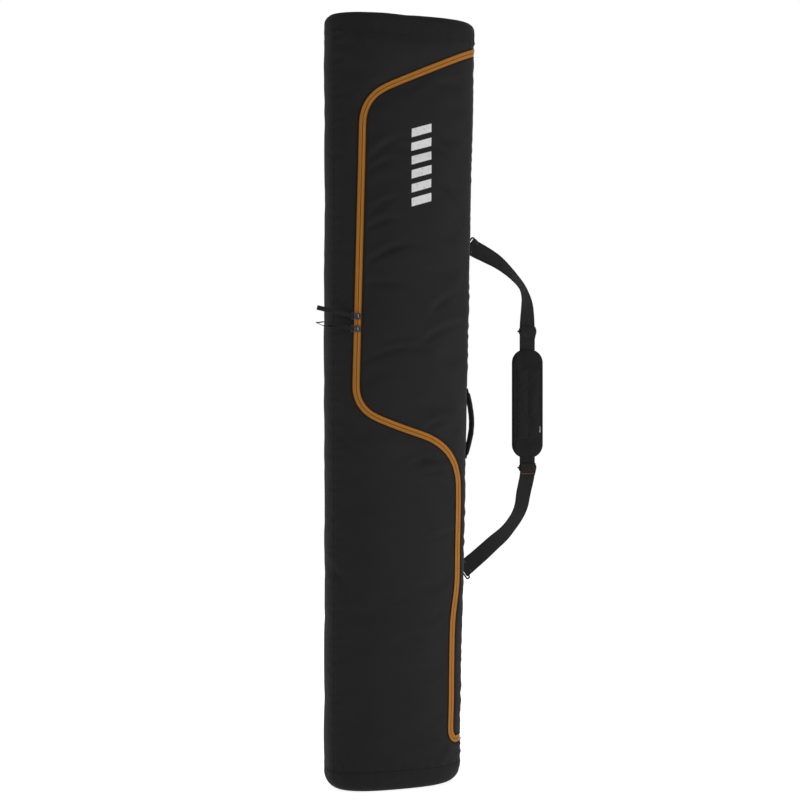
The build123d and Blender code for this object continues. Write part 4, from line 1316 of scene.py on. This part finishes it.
def glide_fold(end):
    """Webbing sewn on below a buckle, up over its front bars and back round the upper one."""
    low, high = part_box(f"{end}_tri_glide")
    front = low.y - STRAP_THICK / 2 - 0.0002
    resting = STRAP_Y - STRAP_THICK - 0.0001
    marks = [
        (PAD[0], resting, low.z - 0.0062),
        (PAD[0], resting, low.z - 0.0030),
        (PAD[0], front + 0.0006, low.z + 0.0004),
        (PAD[0], front - 0.0003, low.z + 0.0050),
        (PAD[0], front - 0.0006, (low.z + high.z) / 2),
        (PAD[0], front - 0.0003, high.z - 0.0070),
        (PAD[0], front + 0.0004, high.z - 0.0025),
        (PAD[0], front + 0.0016, high.z - 0.0011),
        (PAD[0], resting - 0.0004, high.z - 0.0010),
    ]
    path = smooth_path(marks, 60)
    ribbon(f"{end}_glide_fold", path, SIDEWAYS, STRAP_WIDTH + 0.0004, STRAP_THICK,
           f"{end}_buckle", webbing_black, "webbing", columns=15)


glide_fold("upper")
glide_fold("lower")


WIRE_SIDES = 12


def glide_frame(end, plastic):
    """Buckle: a rounded oblong frame in front of the webbing and a bar behind it, joined at the sides."""
    low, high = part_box(f"{end}_tri_glide")
    middle = np.array([(low.x + high.x) / 2, 0, (low.z + high.z) / 2])
    half, tall, corner, radius = STRAP_WIDTH / 2 + 0.0012, (high.z - low.z) / 2 - 0.0041, 0.0042, 0.0019
    outline = []
    for aside, up, start in ((half, tall, 0), (-half, tall, 90), (-half, -tall, 180), (half, -tall, 270)):
        for turn in np.radians(np.linspace(start, start + 90, 8)):
            outline.append((aside - corner * np.sign(aside) + corner * cos(turn), low.y + radius,
                            up - corner * np.sign(up) + corner * sin(turn)))
    frame_wire = closed_wire(f"{end}_glide_frame", middle + np.array(outline), OUT_FRONT, radius)
    reach = half + 0.0004
    back = high.y - 0.0008
    bar = [(-reach, low.y + 0.0022, 0), (-reach, back - 0.0008, 0), (-reach + 0.0012, back, 0),
           (reach - 0.0012, back, 0), (reach, back - 0.0008, 0), (reach, low.y + 0.0022, 0)]
    path = smooth_path(middle + np.array(bar), 50)
    ribbon(f"{end}_glide_bar", path, UPWARDS, 0.0042, 0.0024, f"{end}_buckle",
           plastic, "buckle_plastic", power=3.0)
    finish_piece(frame_wire, f"{end}_buckle", plastic, (f"{end}_tri_glide",))


def base_frame(end, metal):
    """Wire frame of the hook's swivel base: a collar and a rounded oblong for the webbing's fold."""
    ring = joint_place(f"{end}_hook_swivel")
    way = joint_axis(f"{end}_hook_swivel")
    face = np.array(OUT_FRONT)
    face -= way * (face @ way)
    across = np.cross(way, face)
    near, far, half, corner = HOOK_REACH - 0.0078, HOOK_REACH, STRAP_WIDTH / 2 + 0.0022, 0.003
    slack = -0.0030 * np.sign(across[2])        # the frame hangs down a little in the fold
    outline = []
    for along, aside, start in ((far, half, 0), (near, half, 90), (near, -half, 180), (far, -half, 270)):
        for turn in np.radians(np.linspace(start, start + 90, 7)):
            outline.append((along - corner * np.sign(along - (near + far) / 2) + corner * cos(turn),
                            aside - corner * np.sign(aside) + corner * sin(turn)))
    loop = np.array([ring + way * a + across * (b + slack) for a, b in outline])
    wire = closed_wire(f"{end}_base_frame", loop, face, 0.0019)
    collar = ring + way * np.linspace(0.0352, 0.0392, 5)[:, None]
    sleeve = rods(f"{end}_collar", [collar], [0.0034, 0.0042, 0.0042, 0.0042, 0.0032], face, 16)
    for piece in (wire, sleeve):
        node = (f"{end}_hook_base",) if piece is wire else ()
        finish_piece(piece, "shoulder_strap", metal, node)


def closed_wire(name, path, face, radius):
    """Round wire along a closed flat path; face is square to the path's plane."""
    way = unit(np.roll(path, -1, axis=0) - np.roll(path, 1, axis=0))
    ring = round_ring(np.cross(way, face), repeated(face, len(path)), WIRE_SIDES)
    faces = tube_faces(len(path), WIRE_SIDES, closed=True)
    return collection_add(name, closed_mesh(name, path[:, None, :] + radius * ring, faces))


# ---- shoulder pad --------------------------------------------------------------------------------
PAD_CORNER = 0.030
PAD_INSET = 0.0035              # stitches inside the bound edge
PAD_ROWS, PAD_COLUMNS = 96, 31
PAD_WINDOW = (-0.80, 0.82, 0.66)    # mesh window: left and right share of the width, share of the height


def pad_half_width(z):
    """Half width of the pad at a height from its middle."""
    into = np.maximum(np.abs(z) - (PAD_HALF[1] - PAD_CORNER), 0)
    return PAD_HALF[0] - PAD_CORNER + np.sqrt(np.maximum(PAD_CORNER ** 2 - into ** 2, 0))


def pad_grid():
    """Shares across and up of the pad's points, and the same places in metres from its middle."""
    rows = np.linspace(-1, 1, PAD_ROWS)
    s, t = [grid.ravel() for grid in np.meshgrid(
        np.sin(np.linspace(-pi / 2, pi / 2, PAD_COLUMNS)),
        np.sin(np.linspace(-pi / 2, pi / 2, PAD_ROWS)) * 0.15 + rows * 0.85)]
    return s, t, s * pad_half_width(t * PAD_HALF[1]), t * PAD_HALF[1]


def pad_seam(s, t):
    """1 on the pad's stitched lines: round the mesh window and down its middle."""
    x, z = s * PAD_HALF[0], t * PAD_HALF[1]
    left, right, tall = PAD_WINDOW
    inside_z = np.abs(t) < tall
    hold = np.zeros(len(s))
    for line in (left, right, 0.02):
        hold = np.maximum(hold, np.where(inside_z, bump(x - line * PAD_HALF[0], 0.0022), 0))
    inside_x = (s > left) & (s < right)
    return np.maximum(hold, np.where(inside_x, bump(np.abs(z) - tall * PAD_HALF[1], 0.0024), 0))


def pad_cushion(name, front, depth, seams, pressure, material, stands_for):
    """Half of the pad as a blown-up closed cushion, flat against the webbing."""
    s, t, x, z = pad_grid()
    edge = np.clip(1 - np.maximum(np.abs(s), np.abs(t)) ** 6, 0, 1)
    way = -1 if front else 1
    flat = np.full(len(s), STRAP_Y + way * 0.0012)
    inner = np.column_stack((PAD[0] + x * 0.985, flat, PAD[2] + z * 0.995))
    rise = depth * (0.25 + 0.75 * edge ** 0.5) - seams * depth * 0.3
    outer = np.column_stack((PAD[0] + x, STRAP_Y + way * (0.0012 + rise), PAD[2] + z))
    faces = grid_faces(PAD_COLUMNS, PAD_ROWS)
    if not front:
        faces = [face[::-1] for face in faces]
    if pressure:
        edges = (np.abs(s) > 0.999) | (np.abs(t) > 0.999)
        hold = np.clip(seams + edges, 0, 1)
        backs = [tuple(p + len(s) for p in reversed(face)) for face in faces]
        both = np.vstack((outer, inner))
        move = inflate(name + "_cloth", both, faces + backs, np.concatenate((hold, np.ones(len(s)))),
                       pressure, 0.02, 0.3, 0.0022)
        outer = outer + move[:len(s)]
    uv = np.column_stack((x, z))
    pad = solid_sheet(name, faces, outer, inner, uv)
    return finish_piece(pad, "shoulder_pad", material, stands_for), outer


def pad_cloth():
    """Smooth end caps and a spacer-mesh window, told apart by their place on the pad."""
    paint = Paint("pad_cloth", specular=0.25)
    across, along = paint.place_on_cloth()
    left, right, tall = PAD_WINDOW
    in_x = paint.math("MULTIPLY",
                      paint.math("GREATER_THAN", across, left * PAD_HALF[0]),
                      paint.math("LESS_THAN", across, right * PAD_HALF[0]))
    in_z = paint.math("LESS_THAN", paint.math("ABSOLUTE", along), tall * PAD_HALF[1])
    window = paint.math("MULTIPLY", in_x, in_z)
    columns, rows = paint.waves(0.0034, 0.0030)
    holes = paint.math("MAXIMUM", paint.math("MULTIPLY", columns, rows), 0.0)
    fine_a, fine_b = paint.waves(0.0011, 0.0011)
    fine = paint.math("MULTIPLY", fine_a, fine_b)
    cloud = paint.noise(20.0)
    plain = paint.ramp(cloud, [(0.3, (0.0085, 0.0085, 0.0088)), (0.7, (0.0150, 0.0148, 0.0150))])
    # the mesh's holes are painted darker than its strands: painted shade inside the sunken holes
    mesh = paint.ramp(holes, [(0.1, (0.0200, 0.0182, 0.0190)), (0.6, (0.0060, 0.0058, 0.0060))])
    paint.colour(paint.mix(window, plain, mesh))
    paint.rough(cloud, 0.7, 0.9)
    height = paint.math("SUBTRACT", paint.math("MULTIPLY", fine, 0.3),
                        paint.math("MULTIPLY", paint.math("MULTIPLY", window, holes), 1.6))
    paint.bump(height, 0.0004)
    return paint.material


s_pad, t_pad, x_pad, z_pad = pad_grid()
pad_paint = pad_cloth()
pad_front_depth = STRAP_Y - 0.0012 - pad_low.y
_, pad_face = pad_cushion("pad_cushion", True, pad_front_depth, pad_seam(s_pad, t_pad), 3.0, pad_paint,
                          ("pad_cover", "pad_foam"))
mesh_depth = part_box("pad_back_mesh")[1].y - STRAP_Y - 0.0012
back_mesh_cloth = woven("back_mesh_cloth", (0.014, 0.0135, 0.014), pitch=0.0030, depth=0.0005)
pad_cushion("pad_back", False, mesh_depth, np.zeros(len(s_pad)), 1.0, back_mesh_cloth,
            ("pad_back_mesh",))


def pad_point(x, z, lift):
    """Point on the pad's face, raised by a lift."""
    k = int(np.argmin((x_pad - x) ** 2 + (z_pad - z) ** 2))
    return np.array([PAD[0] + x, pad_face[k, 1] - lift, PAD[2] + z])


def pad_lines():
    """Stitched lines of the pad as paths in its own flat x and z."""
    left, right, tall = PAD_WINDOW
    w, h = PAD_HALF
    column = np.linspace(-tall * h, tall * h, 60)
    lines = [[(share * w, z) for z in column] for share in (left, 0.02, right)]
    for way in (-1, 1):
        lines.append([(x, way * tall * h) for x in np.linspace(left * w, right * w, 24)])
    rows = np.linspace(-1, 1, 90)
    lines.append([(s * (pad_half_width(t * h) - PAD_INSET), t * (h - PAD_INSET))
                  for s, side in ((1, rows), (-1, rows[::-1])) for t in side])
    return lines


def pad_stitching():
    """Rows of stitches on the pad's face."""
    paths = []
    for line in pad_lines():
        points = np.array([pad_point(x, z, 0.0001) for x, z in line])
        length = lengths(points)
        for start in np.arange(0, length[-1] - 0.0026, 0.0038):
            paths.append(at_lengths(start + np.array([0, 0.0013, 0.0026]), length, points))
    piece = rods("pad_stitching", paths, [0.00018, 0.00032, 0.00018], OUT_FRONT)
    finish_piece(piece, "shoulder_pad", thread_dark)


pad_stitching()


def pad_binding():
    """Bound edge round the pad."""
    rim = [(s * pad_half_width(t * PAD_HALF[1]), t * PAD_HALF[1])
           for s, t in [(1, t) for t in np.sin(np.linspace(-pi / 2, pi / 2, 110))]
           + [(-1, t) for t in np.sin(np.linspace(pi / 2, -pi / 2, 110))]]
    rim = np.array(rim + [rim[0]])
    path = np.column_stack((PAD[0] + rim[:, 0], np.full(len(rim), STRAP_Y - 0.0008), PAD[2] + rim[:, 1]))
    keep = np.concatenate(([True], np.linalg.norm(np.diff(path, axis=0), axis=1) > 1e-5))
    path = smooth_path(path[keep], 400)
    ribbon("pad_binding", path, BACKWARDS, 0.0058, 0.0022, "shoulder_pad", webbing_black, "webbing",
           columns=9, power=2.4)


pad_binding()


def tag_cloth():
    """Plain pale cloth."""
    paint = Paint("tag_cloth", roughness=0.7)
    grain = paint.noise(400.0)
    paint.colour(paint.ramp(grain, [(0.3, (0.55, 0.55, 0.54)), (0.7, (0.78, 0.78, 0.77))]))
    paint.rough(grain, 0.6, 0.85)
    paint.bump(grain, 0.0002)
    return paint.material


def pad_tag():
    """Small plain tag sewn on the pad's edge."""
    low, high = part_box("pad_tag")
    z = np.linspace(low.z, high.z, 9)
    x = (low.x + high.x) / 2
    path = np.array([pad_point(x - PAD[0], height - PAD[2], 0.0004) for height in z])
    ribbon("pad_tag_cloth", path, SIDEWAYS, high.x - low.x, 0.0006, "shoulder_pad", tag_cloth(), "tag",
           ("pad_tag",), columns=7, power=5.0)


pad_tag()


# ---- webbing tabs that hold the D-rings ----------------------------------------------------------
TAB_WIDTH = 0.025
TAB_THICK = 0.0012
TAB_BEND = 0.00290              # middle of the webbing round the D-ring's bar
TAB_FOOT = (0.0105, 0.0008)     # reach of the sewn foot to each side, and its height


def anchor_tab(end):
    """Strip folded round the D-ring's bar, both ends sewn flat on the side of the bag."""
    bar = joint_place(f"{end}_d_ring_turn")
    up = joint_axis(f"{end}_d_ring_turn")
    low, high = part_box(f"{end}_anchor_tab")
    share = float(np.interp(bar[1] / DEPTH, UNIT_Y[:2500], ROUND[:2500]))
    place = level((low.z + high.z) / 2)
    cloth, out = [value[0] for value in skin(share, place, 0.0, True)]
    out = out - up * (out @ up)
    out /= np.linalg.norm(out)
    across = np.cross(up, out)
    rise = (bar - cloth) @ out
    turn = np.radians(np.linspace(-148, 148, 25))
    bend = [(rise + TAB_BEND * cos(a), TAB_BEND * sin(a)) for a in turn]
    reach, foot = TAB_FOOT
    leg = [(foot, reach), (foot, 0.6 * reach), (foot + 0.0003, 0.35 * reach), (rise - 0.0042, 0.0010)]
    profile = [(h, -w) for h, w in leg] + bend + [(h, w) for h, w in leg[::-1]]
    centre = bar - out * rise
    marks = np.array([centre + out * h + across * w for h, w in profile])
    path = smooth_path(marks, 90)
    ribbon(f"{end}_ring_tab", path, up, TAB_WIDTH, TAB_THICK, "bag", webbing_black,
           "webbing", (f"{end}_anchor_tab",), columns=15)
    paths = []
    for way in (-1, 1):
        for far in (0.0055, 0.0088):
            for step in np.arange(-0.0105, 0.0095, 0.0028):
                spot = centre + out * (foot + 0.0006) + across * way * far + up * step
                paths.append((spot, spot + up * 0.001 + out * 0.0001, spot + up * 0.002))
    stitches = rods(f"{end}_tab_stitches", paths, THREAD, out)
    finish_piece(stitches, "bag", thread_dark)


anchor_tab("upper")
anchor_tab("lower")


# ---- haul handle ---------------------------------------------------------------------------------
HANDLE_WIDTH = 0.017
HANDLE_THICK = 0.002
ROOT_REACH = 0.013              # length of each end of the handle's webbing, made as a fixed strip of its own
PATCH = (0.020, 0.034)
GRIP_LONGER = 0.009              # the sleeve's gathered ends reach past the stiff grip
handle_low, handle_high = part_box("haul_handle_webbing")
grip_low, grip_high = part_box("haul_handle_grip")
HANDLE_Y = (grip_low.y + grip_high.y) / 2
HANDLE_SHARE = float(np.interp(HANDLE_Y / DEPTH, UNIT_Y[:2500], ROUND[:2500]))


def handle_line():
    """Middle line of the handle's webbing, from its lower to its upper end."""
    tree = tree_of("haul_handle_webbing")
    points = []
    for z in np.linspace(handle_low.z + 0.002, handle_high.z - 0.002, 45):
        hit = tree.ray_cast(Vector((1.0, HANDLE_Y, z)), Vector((-1, 0, 0)))[0]
        points.append((hit.x - HANDLE_THICK / 2, HANDLE_Y, z))
    return smooth_path(points, 160)


def part_of(path, low, high):
    """Stretch of a rising path between two heights, kept within the path's own ends."""
    z = np.linspace(max(low, path[0, 2]), min(high, path[-1, 2]), 60)
    return at_lengths(z, path[:, 2], path)


def handle_grip(path):
    """Padded sleeve round the webbing: fuller in the middle, gathered at both ends."""
    middle = part_of(path, grip_low.z - GRIP_LONGER, grip_high.z + GRIP_LONGER)
    share = np.linspace(0, 1, len(middle))
    ends = np.clip(np.minimum(share, 1 - share) / 0.09, 0, 1)
    full = 0.55 + 0.45 * np.sqrt(1 - (1 - ends) ** 2)
    ripple = 1 + 0.03 * wobble(middle[:, 2], 0.019)
    ribbon("handle_sleeve", middle, BACKWARDS, 0.0196 * (0.75 + 0.25 * full) * ripple,
           0.0102 * full * ripple, "haul_handle", shell_cloth, "shell_fabric", ("haul_handle_grip",),
           columns=21, power=2.4)
    way = unit(np.gradient(middle, axis=0))
    out = np.cross(BACKWARDS, way)
    out = out if out[30, 0] > 0 else -out
    paths = []
    for row in range(4, 56):
        edge = middle[row] + np.array([0, -0.0098 * ripple[row], 0]) * (0.75 + 0.25 * full[row])
        paths.append((edge - way[row] * 0.0007, edge + np.array([0, -0.0003, 0]), edge + way[row] * 0.0007))
    for row in (6, 53):
        for step in np.linspace(-0.007, 0.007, 7):
            spot = middle[row] + out[row] * 0.0051 * full[row] * ripple[row] + np.array([0, step, 0])
            spot = spot - out[row] * 0.0016 * (abs(step) / 0.0075) ** 2.4
            paths.append((spot - np.array([0, 0.0007, 0]), spot + out[row] * 0.0003,
                          spot + np.array([0, 0.0007, 0])))
    stitches = rods("handle_stitches", paths, THREAD, SIDEWAYS)
    finish_piece(stitches, "haul_handle", thread_dark)


def handle_root(name, path, low, high):
    """End of the handle's webbing: a fixed strip, sewn down at one end."""
    stretch = part_of(path, low, high)
    strip = collection_add(name, ribbon_mesh(name, stretch, BACKWARDS,
                                             HANDLE_WIDTH, HANDLE_THICK))
    strip.data.materials.append(webbing_black)
    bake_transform(strip)


def handle_patch(name, z, way):
    """Patch sewn over the webbing's end with a boxed cross of stitches, and the rows of that cross."""
    rows = np.linspace(0, PATCH[1], 24)
    u = np.full(24, HANDLE_SHARE)
    points, n = skin(u, level(z + way * rows), 0.0012)
    patch = ribbon_mesh(name, points, BACKWARDS, PATCH[0], 0.0021)
    half_w, half_l = PATCH[0] / 2 - 0.0024, PATCH[1] / 2 - 0.003
    corners = [(-1, -1), (1, -1), (1, 1), (-1, 1), (-1, -1), (1, 1), (1, -1), (-1, 1)]
    paths = []
    for (a, b), (c, d) in zip(corners, corners[1:]):
        start, stop = np.array([a * half_w, b * half_l]), np.array([c * half_w, d * half_l])
        count = int(np.linalg.norm(stop - start) / 0.0026)
        for t in (np.arange(count) + 0.2) / count:
            stitch = start + (stop - start) * t
            onward = (stop - start) / np.linalg.norm(stop - start) * 0.0017
            spots = []
            for along, rise in ((0.0, 0.0), (0.5, 0.0003), (1.0, 0.0)):
                aside, up = stitch + onward * along
                row = (up + PATCH[1] / 2) / PATCH[1] * 23
                at = at_lengths(row, range(24), points)
                spots.append(at + np.array([0, aside, 0]) + n[int(row)] * (0.00115 + rise))
            paths.append(spots)
    return patch, paths


handle_path = handle_line()
handle_grip(handle_path)
middle_web = part_of(handle_path, handle_low.z + ROOT_REACH - 0.001, handle_high.z - ROOT_REACH + 0.001)
ribbon("handle_webbing", middle_web, BACKWARDS, HANDLE_WIDTH, HANDLE_THICK,
       "haul_handle", webbing_black, "webbing", ("haul_handle_webbing",))
handle_root("handle_root_low", handle_path, handle_low.z, handle_low.z + ROOT_REACH)
handle_root("handle_root_high", handle_path, handle_high.z - ROOT_REACH, handle_high.z)
patch_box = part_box("haul_handle_patches")
stitch_paths = []
for name, z, way in (("handle_patch_low", patch_box[0].z + PATCH[1], -1),
                     ("handle_patch_high", patch_box[1].z - PATCH[1], 1)):
    mesh, paths = handle_patch(name, z, way)
    node = ("haul_handle_patches",) if way < 0 else ()
    finish_piece(collection_add(name, mesh), "bag", webbing_black, node)
    stitch_paths += paths
patch_stitches = rods("handle_patch_stitches", stitch_paths, THREAD, SIDEWAYS)
finish_piece(patch_stitches, "bag", thread_dark)


# ---- metal and plastic parts ---------------------------------------------------------------------
def hard_paint(name, colour, worn, metallic, roughness):
    """Metal or plastic with cloudy colour, fine scratches and rubbed patches."""
    paint = Paint(name, metallic=metallic, specular=0.45)
    cloud = paint.noise(120.0, 4.0)
    grain = paint.noise(1600.0, 2.0)
    rubbed = paint.ramp(paint.noise(260.0, 6.0), [(0.52, (0, 0, 0)), (0.72, (1, 1, 1))])
    body_tone = paint.ramp(cloud, [(0.3, shade(colour, 0.8)), (0.7, shade(colour, 1.25))])
    paint.colour(paint.mix(paint.math("MULTIPLY", rubbed, 0.35), body_tone, worn))
    paint.rough(paint.math("ADD", paint.math("MULTIPLY", cloud, 0.7), paint.math("MULTIPLY", grain, 0.3)),
                *roughness)
    paint.bump(grain, 0.00005, 0.6)
    return paint.material


gunmetal = hard_paint("gunmetal", (0.14, 0.14, 0.15), (0.55, 0.55, 0.56), 1.0, (0.16, 0.34))
dark_metal = hard_paint("dark_metal", (0.022, 0.022, 0.024), (0.10, 0.10, 0.11), 1.0, (0.35, 0.55))
black_plastic = hard_paint("black_plastic", (0.010, 0.010, 0.0105), (0.03, 0.03, 0.03), 0.0, (0.38, 0.6))

for end in ("upper", "lower"):
    base_frame(end, dark_metal)
    glide_frame(end, black_plastic)
hard_parts = {"zip_end_stops": (gunmetal, "zip_metal", 0.0004)}
for end in ("upper", "lower"):
    hard_parts[f"{end}_slider"] = (gunmetal, "zip_metal", 0.0005)
    hard_parts[f"{end}_puller"] = (gunmetal, "zip_metal", 0.0004)
    hard_parts[f"{end}_d_ring"] = (dark_metal, "strap_metal", 0.0)
    hard_parts[f"{end}_hook"] = (dark_metal, "strap_metal", 0.0007)
    hard_parts[f"{end}_hook_gate"] = (dark_metal, "strap_metal", 0.0004)
for name, (material, slot, edge) in hard_parts.items():
    part = frame["nodes"][name]
    part.data.materials.clear()
    part.data.materials.append(material)
    if edge:
        bevel = part.modifiers.new("soft_edges", "BEVEL")
        bevel.width = edge
        bevel.segments = 3
        bevel.limit_method = "ANGLE"
        bevel.angle_limit = radians(40)
        bevel.harden_normals = True


# ---- floor, light and camera --------------------------------------------------------------------
def lit_for_camera(tree, socket, others, camera_ray):
    """One strength for what the camera sees and another for the light that falls on the object."""
    path = tree.nodes.new("ShaderNodeLightPath")
    strength = tree.nodes.new("ShaderNodeMapRange")
    strength.inputs["To Min"].default_value = others
    strength.inputs["To Max"].default_value = camera_ray
    tree.links.new(path.outputs["Is Camera Ray"], strength.inputs["Value"])
    tree.links.new(strength.outputs["Result"], socket)


def stage_floor():
    """Pale floor that runs to the horizon."""
    mesh = bpy.data.meshes.new("floor")
    reach = 14.0
    mesh.from_pydata([(-reach, -reach, 0), (reach, -reach, 0), (reach, reach, 0), (-reach, reach, 0)],
                     [], [(0, 1, 2, 3)])
    floor = collection_add("floor", mesh)
    paint = Paint("floor_paper", roughness=0.9, specular=0.1)
    paint.colour(paint.ramp(paint.noise(3.0), [(0.3, (0.90, 0.90, 0.90)), (0.7, (0.93, 0.93, 0.93))]))
    paint.shader.inputs["Emission Color"].default_value = (1, 1, 1, 1)
    lit_for_camera(paint.material.node_tree, paint.shader.inputs["Emission Strength"], 0.2, 0.8)
    mesh.materials.append(paint.material)


def soft_light(name, place, target, size, power):
    """Square area light aimed at a point."""
    data = bpy.data.lights.new(name, "AREA")
    data.size = size
    data.energy = power
    light = bpy.data.objects.new(name, data)
    light.location = place
    light.rotation_mode = "QUATERNION"
    light.rotation_quaternion = (Vector(target) - Vector(place)).to_track_quat("-Z", "Y")
    bpy.context.scene.collection.objects.link(light)


stage_floor()
middle = (0.02, 0.0, 0.8)
soft_light("key", (2.2, -2.6, 1.0), middle, 1.6, 42)
soft_light("left", (-3.0, 0.4, 1.0), middle, 1.2, 16)
soft_light("back", (1.5, 2.6, 2.2), middle, 2.0, 30)
world = bpy.data.worlds.new("studio")
world.use_nodes = True
lit_for_camera(world.node_tree, world.node_tree.nodes["Background"].inputs["Strength"], 0.26, 1.0)
world.node_tree.nodes["Background"].inputs["Color"].default_value = (1, 1, 1, 1)
bpy.context.scene.world = world
bpy.context.scene.view_settings.view_transform = "Standard"

AZIMUTH = radians(-17.5)
LOOK_AT = Vector((0.018, 0.0, 0.8444))
DISTANCE = 3.095
camera_data = bpy.data.cameras.new("camera")
camera_data.sensor_width = 36
camera_data.lens = 63
camera = bpy.data.objects.new("camera", camera_data)
camera.location = LOOK_AT + DISTANCE * Vector((sin(AZIMUTH), -cos(AZIMUTH), 0))
camera.rotation_mode = "QUATERNION"
camera.rotation_quaternion = (LOOK_AT - camera.location).to_track_quat("-Z", "Y")
bpy.context.scene.collection.objects.link(camera)
bpy.context.scene.camera = camera

bpy.context.view_layer.update()
